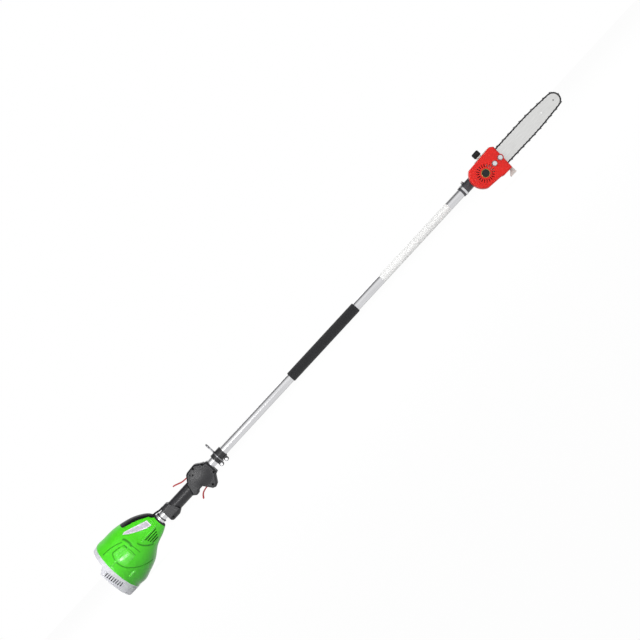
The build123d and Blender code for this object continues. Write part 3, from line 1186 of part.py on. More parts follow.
with BuildPart() as chain_cutters:
    for first, side in ((0, 1), (2, -1)):
        with BuildPart(mode=Mode.PRIVATE) as cutter:
            add(link_plate(CUTTER_CORNERS, sorted((side * strap_inner, side * strap_outer))))
            span_box(CUTTER_TOP_X, sorted((-side * CUTTER_LAP, side * CUTTER_REACH)), CUTTER_TOP_Z)
        with Locations(*side_places[first::4]):
            add(cutter.part)

with BuildPart() as chain_rivets:
    for number in range(RIVET_COUNT):
        x, z = rivet_point(number)
        rod_y((BAR_Y - strap_outer - RIVET_HEAD, BAR_Y + strap_outer + RIVET_HEAD), RIVET_RADIUS, x, z)

# Oil tank with its filler neck, the cap, and the hook under the tank
with BuildPart() as oil_tank:
    add(side_plate(TANK_OUTLINE, TANK_Y))
    fillet(oil_tank.faces().sort_by(Axis.Y)[-1].edges(), TANK_EDGE)
    rod_z((TANK_OUTLINE[1][1] - 2, FILLER_TOP), FILLER_RADIUS, FILLER_X, FILLER_Y)
    tank_room = (TANK_Y[0] + TANK_WALL, TANK_Y[1] - TANK_WALL)
    add(side_plate(TANK_OUTLINE, tank_room, TANK_WALL), mode=Mode.SUBTRACT)
    rod_z((TANK_OUTLINE[1][1] - 6, FILLER_TOP + 1), FILLER_BORE, FILLER_X, FILLER_Y, mode=Mode.SUBTRACT)

with BuildPart() as oil_cap:
    rod_z((CAP_BOTTOM, CAP_TOP), CAP_RADIUS, FILLER_X, FILLER_Y)
    chamfer(oil_cap.edges().sort_by(Axis.Z)[-1], CAP_EDGE)
    cap_room = (CAP_BOTTOM - 1, FILLER_TOP + FREE_GAP)
    rod_z(cap_room, FILLER_RADIUS + FREE_GAP, FILLER_X, FILLER_Y, mode=Mode.SUBTRACT)

with BuildPart() as branch_hook:
    add(side_plate(HOOK_OUTLINE, HOOK_Y))
    rod_y(HOOK_Y, SMALL_SCREW_RADIUS + SCREW_GAP, *HOOK_SCREW, mode=Mode.SUBTRACT)

# One file for each piece
PIECES = {
    "casing_right": casing_right,
    "casing_left": casing_left,
    "powerhead_screws": powerhead_screws,
    "rear_base": rear_base,
    "base_feet": base_feet,
    "cable_cover": cable_cover,
    "label_plates": label_plates,
    "battery_pack": battery_pack,
    "battery_latch": battery_latch,
    "battery_terminals": battery_terminals,
    "controller_board": controller_board,
    "motor_can": motor_can,
    "motor_stator": motor_stator,
    "motor_rotor": motor_rotor,
    "motor_shaft": motor_shaft,
    "motor_bearings": motor_bearings,
    "cooling_fan": cooling_fan,
    "tube_socket": tube_socket,
    "neck_seal": neck_seal,
    "shaft_coupler": shaft_coupler,
    "pole_tube": pole_tube,
    "foam_grip": foam_grip,
    "handle_right": handle_right,
    "handle_left": handle_left,
    "handle_screws": handle_screws,
    "trigger": trigger,
    "lockout_lever": lockout_lever,
    "control_cable": control_cable,
    "hanger_clamp_rear": hanger_clamp_rear,
    "hanger_clamp_front": hanger_clamp_front,
    "hanger_plate": hanger_plate,
    "hanger_bolts": hanger_bolts,
    "drive_shaft": drive_shaft,
    "shaft_bushes": shaft_bushes,
    "lever_pins": lever_pins,
    "lever_springs": lever_springs,
    "throttle_switch": throttle_switch,
    "gear_case": gear_case,
    "clamp_band": clamp_band,
    "head_screws": head_screws,
    "sprocket_cover": sprocket_cover,
    "cover_badge": cover_badge,
    "bar_studs": bar_studs,
    "bar_nuts": bar_nuts,
    "guide_bar": guide_bar,
    "chain_drive_links": chain_drive_links,
    "chain_straps": chain_straps,
    "chain_cutters": chain_cutters,
    "chain_rivets": chain_rivets,
    "oil_tank": oil_tank,
    "oil_cap": oil_cap,
    "branch_hook": branch_hook,
    "gear_case_cap": gear_case_cap,
    "bevel_pinion": bevel_pinion,
    "bevel_gear": bevel_gear,
    "transfer_shaft": transfer_shaft,
    "sprocket_shaft": sprocket_shaft,
    "gear_bearings": gear_bearings,
    "drive_sprocket": drive_sprocket,
    "nose_sprocket": nose_sprocket,
}
os.makedirs("parts", exist_ok=True)
for name, piece in PIECES.items():
    piece.part.label = name
    export_step(piece.part, f"parts/{name}.step")
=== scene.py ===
# %% [markdown]
# A battery pole saw, dressed for its portrait
#
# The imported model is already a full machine: every shell, gear and chain link is a solid in metres.
# This lesson loads it as a frame that never moves, then adds what solids can't carry: paint, grain,
# foam, moulded relief on the shells, and the light of a plain studio.

# %% Load the frame
import math

import bpy
from mathutils import Matrix, Vector, noise
from mathutils.bvhtree import BVHTree


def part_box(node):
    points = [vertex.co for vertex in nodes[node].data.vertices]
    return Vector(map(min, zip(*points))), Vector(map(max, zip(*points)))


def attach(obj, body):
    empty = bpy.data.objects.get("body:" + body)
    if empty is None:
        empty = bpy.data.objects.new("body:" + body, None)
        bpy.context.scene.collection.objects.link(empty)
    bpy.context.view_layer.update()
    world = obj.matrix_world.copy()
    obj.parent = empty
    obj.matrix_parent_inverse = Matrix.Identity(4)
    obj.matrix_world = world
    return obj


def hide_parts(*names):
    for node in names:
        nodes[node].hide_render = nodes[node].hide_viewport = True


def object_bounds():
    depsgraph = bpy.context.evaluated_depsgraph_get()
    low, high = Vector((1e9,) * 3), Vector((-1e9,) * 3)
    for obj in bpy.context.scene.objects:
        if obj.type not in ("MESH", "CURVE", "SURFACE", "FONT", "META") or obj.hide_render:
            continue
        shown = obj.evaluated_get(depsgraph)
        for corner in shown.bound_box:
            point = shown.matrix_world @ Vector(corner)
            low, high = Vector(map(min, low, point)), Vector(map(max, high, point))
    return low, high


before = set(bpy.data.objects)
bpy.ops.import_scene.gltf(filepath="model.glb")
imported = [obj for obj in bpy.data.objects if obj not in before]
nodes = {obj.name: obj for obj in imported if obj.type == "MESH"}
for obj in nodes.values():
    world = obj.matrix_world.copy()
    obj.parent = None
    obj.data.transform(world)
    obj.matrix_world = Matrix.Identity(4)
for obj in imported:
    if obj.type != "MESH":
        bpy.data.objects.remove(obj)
cad_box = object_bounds()
print("loaded", len(nodes), "solids", [tuple(round(v, 3) for v in corner) for corner in cad_box])

# %% [markdown]
# The camera comes first, because everything else is judged through it. The photograph looks square
# at the right side of the saw from about four metres, and it is rolled, so that the pole climbs
# from the lower left to the upper right. A rolled camera is only a matrix with its right and up
# vectors turned.

# %% Camera
ROLL = math.radians(47.257)
VIEW_CENTRE = Vector((1.0196, 0.0, 0.0543))
VIEW_DISTANCE = 3.95
LENS_MM = 71.7
SENSOR_MM = 36.0

camera_data = bpy.data.cameras.new("portrait_camera")
camera_data.lens = LENS_MM
camera_data.sensor_width = SENSOR_MM
camera = bpy.data.objects.new("portrait_camera", camera_data)
bpy.context.scene.collection.objects.link(camera)
camera_right = Vector((math.cos(ROLL), 0, -math.sin(ROLL)))
camera_up = Vector((math.sin(ROLL), 0, math.cos(ROLL)))
camera_back = Vector((0, -1, 0))
camera_place = VIEW_CENTRE + camera_back * VIEW_DISTANCE
turn = Matrix((camera_right, camera_up, camera_back)).transposed().to_4x4()
camera.matrix_world = Matrix.Translation(camera_place) @ turn
bpy.context.scene.camera = camera
print("camera at", tuple(round(v, 3) for v in camera_place))

# %% [markdown]
# A finish is easier to read as a sum than as a web of wires. Value wraps one socket and turns
# Python's operators into Math nodes, so that 1 - mask really adds a node. Finish holds one
# material: its node method makes any node, and its shade method fills the shader's own sockets.


# %% Shader sums
class Value:
    """One output socket that can be added, subtracted, multiplied and raised to a power."""

    def __init__(self, finish, socket):
        self.finish = finish
        self.socket = socket

    def math(self, operation, *others):
        return self.finish.node("Math", {"operation": operation}, [self, *others])

    def __add__(self, other):
        return self.math("ADD", other)

    def __sub__(self, other):
        return self.math("SUBTRACT", other)

    def __mul__(self, other):
        return self.math("MULTIPLY", other)

    def __pow__(self, other):
        return self.math("POWER", other)

    def __rsub__(self, other):
        return self.finish.node("Math", {"operation": "SUBTRACT"}, [other, self])

    __radd__ = __add__

    def between(self, low, high):
        """0 below low, 1 above high, and a smooth step from one to the other."""
        inputs = {"Value": self, "From Min": low, "From Max": high, "To Min": 0.0, "To Max": 1.0}
        return self.finish.node("MapRange", {"interpolation_type": "SMOOTHSTEP"}, inputs)


class Finish:
    """A material with one Principled shader."""

    def __init__(self, name):
        self.material = bpy.data.materials.new(name)
        self.material.use_nodes = True
        self.tree = self.material.node_tree
        self.shader = self.tree.nodes["Principled BSDF"]

    def node(self, kind, settings=None, inputs=None, output=0):
        made = self.tree.nodes.new("ShaderNode" + kind)
        for key, value in (settings or {}).items():
            setattr(made, key, value)
        pairs = inputs.items() if isinstance(inputs, dict) else enumerate(inputs or [])
        for key, value in pairs:
            self.plug(made.inputs[key], value)
        return Value(self, made.outputs[output])

    def plug(self, socket, value):
        if isinstance(value, Value):
            self.tree.links.new(value.socket, socket)
        else:
            socket.default_value = value

    def shade(self, **sockets):
        for key, value in sockets.items():
            self.plug(self.shader.inputs[key.replace("_", " ")], value)
        return self

    def place(self, stretch=(1, 1, 1)):
        """Coordinates in metres, the same for every piece, stretched where a grain is long."""
        spot = self.node("TexCoord", output="Object")
        return self.node("Mapping", None, {"Vector": spot, "Scale": stretch})

    def noise(self, scale, detail, stretch=(1, 1, 1)):
        inputs = {"Vector": self.place(stretch), "Scale": scale, "Detail": detail}
        inputs["Roughness"] = 0.55
        return self.node("TexNoise", None, inputs, "Fac")

    def blend(self, share, first, second):
        """A colour between two colours."""
        inputs = {0: share, 6: first, 7: second}
        return self.node("Mix", {"data_type": "RGBA"}, inputs, 2)

    def bump(self, height, depth, strength=1.0):
        """A surface normal from a height map whose full range is depth metres."""
        return self.node("Bump", None, {"Height": height, "Distance": depth, "Strength": strength})

    def edge(self, radius):
        """1 on sharp edges, 0 on flat faces: how far a rounded normal leans from the real one."""
        rounded = self.node("Bevel", {"samples": 4}, {"Radius": radius})
        flat = self.node("NewGeometry", output="Normal")
        lean = self.node("VectorMath", {"operation": "DOT_PRODUCT"}, [rounded, flat], "Value")
        return (1 - lean).between(0.01, 0.2)


def colour(red, green, blue):
    """A colour as a screen shows it, 0 to 255, in the linear values that Blender mixes."""
    linear = []
    for shown in (red / 255, green / 255, blue / 255):
        linear.append(((shown + 0.055) / 1.055) ** 2.4 if shown > 10 / 255 else shown / 12.92)
    return (*linear, 1.0)


def toned(tone, factor):
    """The same colour, darker or lighter by a factor."""
    return (*(min(1.0, channel * factor) for channel in tone[:3]), 1.0)


print("shader sums are ready")

# %% [markdown]
# Most of the saw is injection-moulded plastic. A moulding isn't one flat colour: pigment drifts a
# little, the gloss breaks up where hands rub, edges are polished by wear, and the steel mould
# leaves a fine spark grain. One recipe makes them all, and each piece gets its own colour, gloss
# and depth of grain.


# %% Moulded plastics
EDGE_RADIUS = 0.0008
DRIFT_SCALE = 14.0
RUB_SCALE = 45.0
SCRATCH_SCALE = 210.0
COAT_ROUGHNESS = 0.08


def moulded(name, tone, gloss, grain=2600.0, depth=0.00006, coat=0.0, worn=1.12, shine=0.5):
    """A moulding, with its grain's scale, the grain's depth in metres and how pale edges wear."""
    finish = Finish(name)
    drift = finish.noise(DRIFT_SCALE, 4.0)
    pigment = finish.blend(drift.between(0.3, 0.7), toned(tone, 0.94), toned(tone, 1.05))
    edge = finish.edge(EDGE_RADIUS)
    shown = finish.blend(edge * 0.6, pigment, toned(tone, worn))
    rubbed = finish.noise(RUB_SCALE, 5.0)
    scratches = finish.noise(SCRATCH_SCALE, 2.0, (0.12, 1, 1)).between(0.62, 0.8)
    finish.shade(Base_Color=shown, Roughness=gloss + rubbed * 0.10 - 0.05 + scratches * 0.07)
    finish.shade(Normal=finish.bump(finish.noise(grain, 2.0), depth))
    finish.shader.inputs["Coat Weight"].default_value = coat
    finish.shader.inputs["Coat Roughness"].default_value = COAT_ROUGHNESS
    finish.shader.inputs["Specular IOR Level"].default_value = shine
    return finish.material


grey_base = moulded("lilac grey moulding", colour(208, 208, 214), 0.42)
black_strip = moulded("black strip moulding", colour(16, 16, 19), 0.36, worn=1.6, shine=0.12)
black_small = moulded("black moulding", colour(24, 24, 25), 0.42, worn=2.0, shine=0.3)
dark_handle = moulded(
    "dark handle moulding", colour(32, 32, 35), 0.34, 1500.0, 0.00005, worn=1.5, shine=0.38
)
red_lever = moulded("red lever moulding", colour(164, 20, 28), 0.38, shine=0.25)
red_cover = moulded("red cover moulding", colour(228, 33, 24), 0.32, 1100.0, 0.00004, shine=0.35)
pale_tank = moulded("pale tank moulding", colour(232, 230, 224), 0.44)
black_clamp = moulded("black clamp moulding", colour(30, 30, 32), 0.38, worn=1.8, shine=0.45)
rubber_black = moulded(
    "black rubber", colour(22, 22, 23), 0.62, 1800.0, 0.0001, worn=1.3, shine=0.3
)
print("plastics:", len(bpy.data.materials))

# %% [markdown]
# The powerhead's shell is full of shallow creases: the long bracket round a clip, a crescent and
# some lines. The solid has them; the finish paints shade into them as a dark green, and they lose
# their polish. Each crease is an arc through three points in side view, X and Z in metres, with its
# half width before them. The finish works out how far it is to the nearest arc. The sum never asks
# which side a point is on, so both shells get the same painted shade.

# %% Painted shade in the creases and towards the underside
# Painted shade: the shell's green darkens towards its underside.
UNDERSIDE_SHADE_TONE = colour(30, 132, 8)
UNDERSIDE_SHADE_DEPTH = 0.085
# Painted shade: the dark green that the creases are darkened towards.
CREASE_SHADE_TONE = colour(20, 92, 10)
ARC_SLACK = 0.002
CREASES = (
    (0.0018, ((0.0715, 0.0360), (0.0622, 0.0030), (0.0775, -0.0340))),
    (0.0014, ((0.0775, -0.0340), (0.1000, -0.0550), (0.1290, -0.0680))),
    (0.0015, ((0.0715, 0.0360), (0.0915, 0.0338), (0.1085, 0.0282))),
    (0.0024, ((0.1120, 0.0262), (0.1127, 0.0210), (0.1124, 0.0155))),
    (0.0036, ((0.1222, 0.0400), (0.1272, 0.0260), (0.1262, 0.0100))),
    (0.0012, ((0.1270, 0.0102), (0.1288, -0.0060), (0.1286, -0.0232))),
    (0.0014, ((0.0470, 0.0532), (0.0860, 0.0482), (0.1130, 0.0375))),
    (0.0011, ((0.1145, 0.0087), (0.1150, -0.0050), (0.1140, -0.0180))),
    (0.0024, ((0.1425, 0.0000), (0.1500, -0.0190), (0.1660, -0.0355))),
)


def arc_through(first, middle, last):
    """The centre and radius of the circle through three points."""
    (ax, az), (bx, bz), (cx, cz) = first, middle, last
    twice = 2 * (ax * (bz - cz) + bx * (cz - az) + cx * (az - bz))
    a, b, c = ax * ax + az * az, bx * bx + bz * bz, cx * cx + cz * cz
    centre = (
        (a * (bz - cz) + b * (cz - az) + c * (az - bz)) / twice,
        (a * (cx - bx) + b * (ax - cx) + c * (bx - ax)) / twice,
    )
    return centre, math.dist(centre, first)


def distance_to_arc(x, z, points):
    """How far each point of the surface is from an arc in side view, with its two ends."""
    (x0, z0), (x1, z1) = points[0], points[2]
    (cx, cz), radius = arc_through(*points)
    across = ((x - cx) ** 2.0 + (z - cz) ** 2.0) ** 0.5 - radius
    run, rise = x1 - x0, z1 - z0
    chord = math.hypot(run, rise)
    along = ((x - x0) * (run / chord) + (z - z0) * (rise / chord) - chord / 2).math("ABSOLUTE")
    bulge = math.copysign(1 / chord, (points[1][0] - x0) * rise - (points[1][1] - z0) * run)
    hollow = (z - z0) * (run * bulge) - (x - x0) * (rise * bulge) - ARC_SLACK
    beyond = (along - chord / 2).math("MAXIMUM", hollow).math("MAXIMUM", 0.0)
    return (across * across + beyond * beyond) ** 0.5


def creased_shell(name, tone):
    """A gloss shell with painted shade: its green darkens towards its underside and in the creases.
    """
    finish = Finish(name)
    spot = finish.node("TexCoord", output="Object")
    x = finish.node("SeparateXYZ", None, [spot], "X")
    z = finish.node("SeparateXYZ", None, [spot], "Z")
    crease_shade_mask = None
    for half_width, points in CREASES:
        mark = 1 - distance_to_arc(x, z, points).between(0.25 * half_width, 1.5 * half_width)
        crease_shade_mask = mark if crease_shade_mask is None else crease_shade_mask.math("MAXIMUM", mark)
    drift = finish.noise(DRIFT_SCALE, 4.0)
    pigment = finish.blend(drift.between(0.3, 0.7), toned(tone, 0.95), toned(tone, 1.05))
    # Painted shade: the green darkens towards the underside.
    low = (z * -1.0).between(0.0, UNDERSIDE_SHADE_DEPTH)
    pigment = finish.blend(low * 0.7, pigment, UNDERSIDE_SHADE_TONE)
    edge = finish.edge(EDGE_RADIUS)
    pigment = finish.blend(edge * 0.6, pigment, toned(tone, 1.2))
    # Painted shade: the creases are darkened; below they are also made rougher.
    finish.shade(Base_Color=finish.blend(crease_shade_mask * 0.72, pigment, CREASE_SHADE_TONE))
    rubbed = finish.noise(RUB_SCALE, 5.0)
    finish.shade(Roughness=0.27 + rubbed * 0.1 + crease_shade_mask * 0.25)
    finish.shade(Normal=finish.bump(finish.noise(900.0, 2.0), 0.00003))
    finish.shader.inputs["Coat Weight"].default_value = 0.1
    finish.shader.inputs["Coat Roughness"].default_value = COAT_ROUGHNESS
    finish.shader.inputs["Specular IOR Level"].default_value = 0.35
    return finish.material


green_shell = creased_shell("green gloss moulding", colour(72, 206, 26))
green_relief = moulded("green relief moulding", colour(76, 208, 30), 0.18, 900.0, 0.00003, coat=0.6)
print("shell with painted shade in", len(CREASES), "creases")

# %% [markdown]
# The tube is drawn aluminium: its scratches all run along the pole, so the noise is squeezed across
# the pole and pulled out along it. The bar and the gear parts are ground steel, and the chain is
# oiled dark steel whose cutters are bright only where a file has touched them.


# %% Metals
def drawn_metal(name, tone, gloss, along=(0.02, 1, 1), line=900.0, dirt=0.12):
    """Metal with fine lines, pulled out along one axis, their scale, and a share of stain."""
    finish = Finish(name)
    lines = finish.noise(line, 3.0, along)
    stain = finish.noise(9.0, 5.0)
    clean = finish.blend(lines.between(0.25, 0.75), toned(tone, 0.9), toned(tone, 1.06))
    shown = finish.blend(stain.between(0.55, 0.85) * dirt, clean, toned(tone, 0.45))
    finish.shade(Base_Color=shown, Metallic=1.0)
    finish.shade(Roughness=gloss + lines * 0.14 - 0.07 + stain * 0.06)
    finish.shade(Normal=finish.bump(lines, 0.00003, 0.6))
    return finish.material


def cast_metal(name, tone, gloss):
    """Dark, grainy metal that wears bright on its edges."""
    finish = Finish(name)
    grain = finish.noise(700.0, 4.0)
    drift = finish.noise(25.0, 4.0)
    edge = finish.edge(EDGE_RADIUS)
    shown = finish.blend(drift.between(0.3, 0.7), toned(tone, 0.85), toned(tone, 1.12))
    finish.shade(Base_Color=finish.blend(edge * 0.5, shown, toned(tone, 2.2)))
    finish.shade(Metallic=0.55, Roughness=gloss + grain * 0.12)
    finish.shade(Normal=finish.bump(grain, 0.0002))
    return finish.material


tube_metal = drawn_metal("drawn tube", colour(206, 206, 208), 0.24)
bar_metal = drawn_metal("ground bar steel", colour(217, 217, 216), 0.45, (0.05, 1, 1), 600.0, 0.2)
turned_metal = drawn_metal("turned alloy", colour(204, 204, 206), 0.22, (1, 0.2, 0.2), 1200.0)
plain_steel = drawn_metal("ground steel", colour(190, 190, 192), 0.3, (0.4, 1, 1))
chain_metal = cast_metal("oiled chain steel", colour(44, 44, 46), 0.4)
cutter_metal = cast_metal("filed cutter steel", colour(62, 62, 64), 0.36)
screw_metal = cast_metal("blackened screws", colour(14, 14, 15), 0.5)
case_metal = cast_metal("dark coated casting", colour(76, 76, 80), 0.36)
bright_plate = drawn_metal("bright plating", colour(208, 208, 211), 0.16, (1, 1, 1), 300.0, 0.05)
hanger_metal = drawn_metal("dull plated hanger", colour(128, 128, 131), 0.34, (1, 1, 0.3), 500.0)
brass_metal = drawn_metal("contact brass", colour(205, 170, 90), 0.3)
gold_rim = drawn_metal("gilt rim", colour(206, 172, 92), 0.28, (1, 1, 1), 500.0)
print("metals and plastics:", len(bpy.data.materials))

# %% [markdown]
# Two thin materials are left. The label film is smooth plastic whose only life is a faint fibre
# under the print. The foam is a sponge of small cells: a Voronoi pattern paints shade into each
# cell's hollow and leaves a lighter wall, and a slow noise stands for the skin that hands have
# polished.


# %% Film and foam
FOAM_CELLS = 620.0


def printed_film(name, tone, gloss):
    """Smooth film with a faint fibre."""
    finish = Finish(name)
    fibre = finish.noise(500.0, 3.0)
    drift = finish.noise(20.0, 4.0)
    shown = finish.blend(drift.between(0.25, 0.75), toned(tone, 0.96), toned(tone, 1.03))
    finish.shade(Base_Color=shown)
    finish.shade(Roughness=gloss + fibre * 0.1)
    finish.shade(Normal=finish.bump(fibre, 0.00001, 0.5))
    return finish.material


def foam(name, tone):
    """Closed-cell foam: painted shade in the hollows, lighter walls and a rubbed skin."""
    finish = Finish(name)
    inputs = {"Vector": finish.place(), "Scale": FOAM_CELLS}
    cells = finish.node("TexVoronoi", {"feature": "F1"}, inputs, "Distance")
    skin = finish.noise(60.0, 5.0)
    open_cell = cells.between(0.15, 0.6)
    # Painted shade: each cell's hollow is darker than its wall.
    shown = finish.blend(open_cell, toned(tone, 0.55), toned(tone, 1.15))
    shown = finish.blend(skin.between(0.45, 0.7) * 0.35, shown, toned(tone, 1.5))
    finish.shade(Base_Color=shown, Roughness=0.82 + skin * 0.12)
    finish.shade(Normal=finish.bump(open_cell + skin * 0.6, 0.0003, 0.7))
    finish.shader.inputs["Sheen Weight"].default_value = 0.1
    finish.shader.inputs["Sheen Roughness"].default_value = 0.6
    return finish.material


label_film = printed_film("lilac label film", colour(190, 183, 197), 0.3)
white_film = printed_film("white label film", colour(244, 244, 243), 0.36)
board_film = printed_film("board coating", colour(24, 92, 58), 0.35)
grip_foam = foam("grip foam", colour(30, 30, 32))
print("finishes:", len(bpy.data.materials))

# %% [markdown]
# Each solid already has its exact shape, so it only changes its coat: the material slots of the
# frame's own objects are emptied and filled again. One table says which finish goes where, as a
# paint shop's list would.

# %% Finishes on the solids
DRESS = {
    green_shell: "casing_right casing_left",
    grey_base: "rear_base base_feet",
    black_strip: "cable_cover",
    black_small: "battery_pack battery_latch throttle_switch oil_cap cover_badge cooling_fan",
    label_film: "label_plates",
    board_film: "controller_board",
    rubber_black: "neck_seal control_cable",
    dark_handle: "handle_right handle_left",
    black_clamp: "hanger_clamp_rear hanger_clamp_front shaft_bushes",
    red_lever: "trigger lockout_lever",
    red_cover: "sprocket_cover",
    pale_tank: "oil_tank branch_hook",
    tube_metal: "pole_tube",
    turned_metal: "tube_socket clamp_band shaft_coupler motor_can",
    case_metal: "gear_case gear_case_cap",
    bar_metal: "guide_bar",
    chain_metal: "chain_drive_links chain_straps chain_rivets",
    cutter_metal: "chain_cutters",
    bright_plate: "bar_nuts bar_studs",
    hanger_metal: "hanger_plate",
    brass_metal: "battery_terminals",
    plain_steel: (
        "motor_stator motor_rotor motor_shaft motor_bearings drive_shaft lever_springs bevel_pinion"
        " bevel_gear transfer_shaft sprocket_shaft gear_bearings drive_sprocket nose_sprocket"
        " powerhead_screws head_screws hanger_bolts"
    ),
    screw_metal: "handle_screws lever_pins",
}
dressed = []
for material, names in DRESS.items():
    for name in names.split():
        nodes[name].data.materials.clear()
        nodes[name].data.materials.append(material)
        dressed.append(name)
print("dressed", len(dressed), "of", len(nodes))

# %% [markdown]
# Now the pieces that solids leave out. The shells carry raised relief: a clip, a panel, ribs and a
# lip over the neck's louvres. Each is a thin skin: a grid of points is thrown at the shell along Y
# and lifted where it lies inside a rounded rectangle. The skin's rim dives under the surface, so
# that no open edge shows.


# %% Relief on the shells
THROW_FROM = 0.3
RELIEF_STEP = 0.0007
RELIEF_DIVE = 0.0007
SIDES = ((-1, "right"), (1, "left"))


def linked(name, mesh, material, body="frame"):
    """A new piece in the scene, with its finish and slot, riding on one body of the frame."""
    made = bpy.data.objects.new(name, mesh)
    bpy.context.scene.collection.objects.link(made)
    mesh.materials.append(material)
    for face in mesh.polygons:
        face.use_smooth = True
    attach(made, body)
    return made


def surface_of(*names):
    """A search tree of the faces of some solids, for throwing points at them."""
    points = []
    faces = []
    for name in names:
        mesh = nodes[name].data
        start = len(points)
        points += [vertex.co.copy() for vertex in mesh.vertices]
        faces += [[start + index for index in face.vertices] for face in mesh.polygons]
    return BVHTree.FromPolygons(points, faces)


def throw(target, side, x, z):
    """One throw along Y from outside: where it meets the target, and the face's direction."""
    hit, normal, _, _ = target.ray_cast(Vector((x, side * THROW_FROM, z)), Vector((0, -side, 0)))
    return hit, normal


def thrown(target, side, x, z, spread=0.0024):
    """Where a point thrown along Y meets the target, and the surface's direction there.

    The solids are faceted, so the answer is the mean of nine throws close together.
    """
    depths = []
    total = Vector()
    for dx in (-spread, 0, spread):
        for dz in (-spread, 0, spread):
            hit, normal = throw(target, side, x + dx, z + dz)
            if hit is not None:
                depths.append(hit.y)
                total += normal if normal.y * side > 0 else -normal
    if len(depths) < 9 or max(depths) - min(depths) > 3 * spread:
        return None, None
    return Vector((x, sum(depths) / len(depths), z)), total.normalized()


def skin(name, points, width, side, material):
    """A sheet of faces over rows of points; a face with a missing corner is left out."""
    kept = [index for index, point in enumerate(points) if point is not None]
    place = {index: number for number, index in enumerate(kept)}
    faces = []
    for start in range(len(points) - width):
        loop = (start, start + 1, start + width + 1, start + width)
        if start % width < width - 1 and all(index in place for index in loop):
            faces.append([place[index] for index in (loop if side > 0 else loop[::-1])])
    mesh = bpy.data.meshes.new(name)
    mesh.from_pydata([points[index] for index in kept], [], faces)
    linked(name, mesh, material)


def relief(name, target, side, centre, half, corner, lift, edge, tilt, lean, material):
    """A raised rounded rectangle on a shell, seen from the side -1 or 1; sizes in metres.

    The lean is how much higher its lower front corner stands than its other corners.
    """
    wide, tall = (int(reach / RELIEF_STEP) + 1 for reach in half)
    across = [number * RELIEF_STEP for number in range(-wide, wide + 1)]
    along = [number * RELIEF_STEP for number in range(-tall, tall + 1)]
    points = []
    for u in across:
        for v in along:
            x = centre[0] + u * math.cos(tilt) - v * math.sin(tilt)
            z = centre[1] + u * math.sin(tilt) + v * math.cos(tilt)
            hit, normal = thrown(target, side, x, z)
            if hit is None:
                points.append(None)
                continue
            beside = abs(u) - half[0] + corner
            above = abs(v) - half[1] + corner
            gap = math.hypot(max(beside, 0), max(above, 0)) + min(max(beside, above), 0) - corner
            share = min(1.0, max(0.0, -gap / edge))
            full = lift + lean * (0.5 - 0.5 * v / half[1]) * (0.5 + 0.5 * u / half[0])
            rise = full * share * share * (3 - 2 * share) - RELIEF_DIVE * (1 - share) ** 5
            points.append(hit + normal * rise)
    skin(name, points, len(along), side, material)


# Centre, half sizes, corner radius, lift, width of the sloping edge, tilt and lean.
CASING_RELIEF = {
    "clip": ((0.0890, 0.0262), (0.0185, 0.0064), 0.0030, 0.0010, 0.0022, -0.16, 0.0),
    "panel": ((0.0905, -0.0030), (0.0225, 0.0170), 0.0060, 0.0006, 0.0060, 0.0, 0.0034),
    "rear_rib": ((0.0520, 0.0125), (0.0125, 0.0040), 0.0036, 0.0014, 0.0036, -0.05, 0.0),
    "low_rib": ((0.0657, -0.0500), (0.0140, 0.0038), 0.0034, 0.0022, 0.0034, -0.02, 0.0),
    "louvre_lip": ((0.1850, -0.0045), (0.0330, 0.0038), 0.0034, 0.0024, 0.0034, 0.03, 0.0),
    "front_rib_a": ((0.2095, 0.0170), (0.0018, 0.0090), 0.0016, 0.0012, 0.0014, 0.0, 0.0),
    "front_rib_b": ((0.2155, 0.0155), (0.0018, 0.0085), 0.0016, 0.0012, 0.0014, 0.0, 0.0),
}
shells = surface_of("casing_right", "casing_left")
for side, hand in SIDES:
    for name, form in CASING_RELIEF.items():
        relief(f"casing_{name}_{hand}", shells, side, *form, green_relief)
print("relief pieces:", len(SIDES) * len(CASING_RELIEF))

# %% [markdown]
# The flat block of the handle isn't quite flat: its wall swells a little towards the middle, which
# keeps a thin moulding from sinking as it cools. The bulge is under three millimetres, so it is a
# skin as well, with a height that falls to nothing at the edge of an ellipse and has no crest.

# %% Swell of the handle's block
SWELL_CENTRE = (0.4170, -0.0050)
SWELL_HALF = (0.0400, 0.0360)
SWELL_LIFT = 0.0026
SWELL_DIVE = 0.0002
SWELL_COUNT = 36


def swell(name, target, side, centre, half, lift, material):
    """A low smooth bulge over an ellipse on a flat side; its rim dives under the surface."""
    points = []
    for row in range(SWELL_COUNT + 1):
        for column in range(SWELL_COUNT + 1):
            u, v = 2 * row / SWELL_COUNT - 1, 2 * column / SWELL_COUNT - 1
            hit, normal = thrown(target, side, centre[0] + u * half[0], centre[1] + v * half[1])
            inner = 1 - u * u - v * v
            if hit is None or inner < -0.2:
                points.append(None)
                continue
            rise = lift * max(0.0, inner) ** 2 - SWELL_DIVE * max(0.0, 1 - 4 * inner)
            points.append(hit + normal * rise)
    skin(name, points, SWELL_COUNT + 1, side, material)


handles = surface_of("handle_right", "handle_left")
for side, hand in SIDES:
    swell(f"handle_swell_{hand}", handles, side, SWELL_CENTRE, SWELL_HALF, SWELL_LIFT, dark_handle)
print("two swells on the handle")

# %% [markdown]
# Behind the louvres hangs a dark sheet of painted shade: it stands for the shade inside the neck,
# where the eye would otherwise look straight at the motor. It hangs just inside the shell, so its
# points are thrown at the ribs between the louvres and drawn inwards. A hem along its foot closes
# the last gap, so that no daylight shows through the lowest louvre.

# %% Dark shade sheets behind the louvres
SHADE_SHEET_ROWS = (-0.0066, -0.0141, -0.0213, -0.0285, -0.0348)
SHADE_SHEET_START = 0.157
SHADE_SHEET_PITCH = 0.0055
SHADE_SHEET_COLUMNS = 11
SHADE_SHEET_DEPTH = 0.0042


def floor_of(target, x, y):
    """The height at which a throw from below meets the target."""
    hit, _, _, _ = target.ray_cast(Vector((x, y, -THROW_FROM)), Vector((0, 0, 1)))
    return hit.z
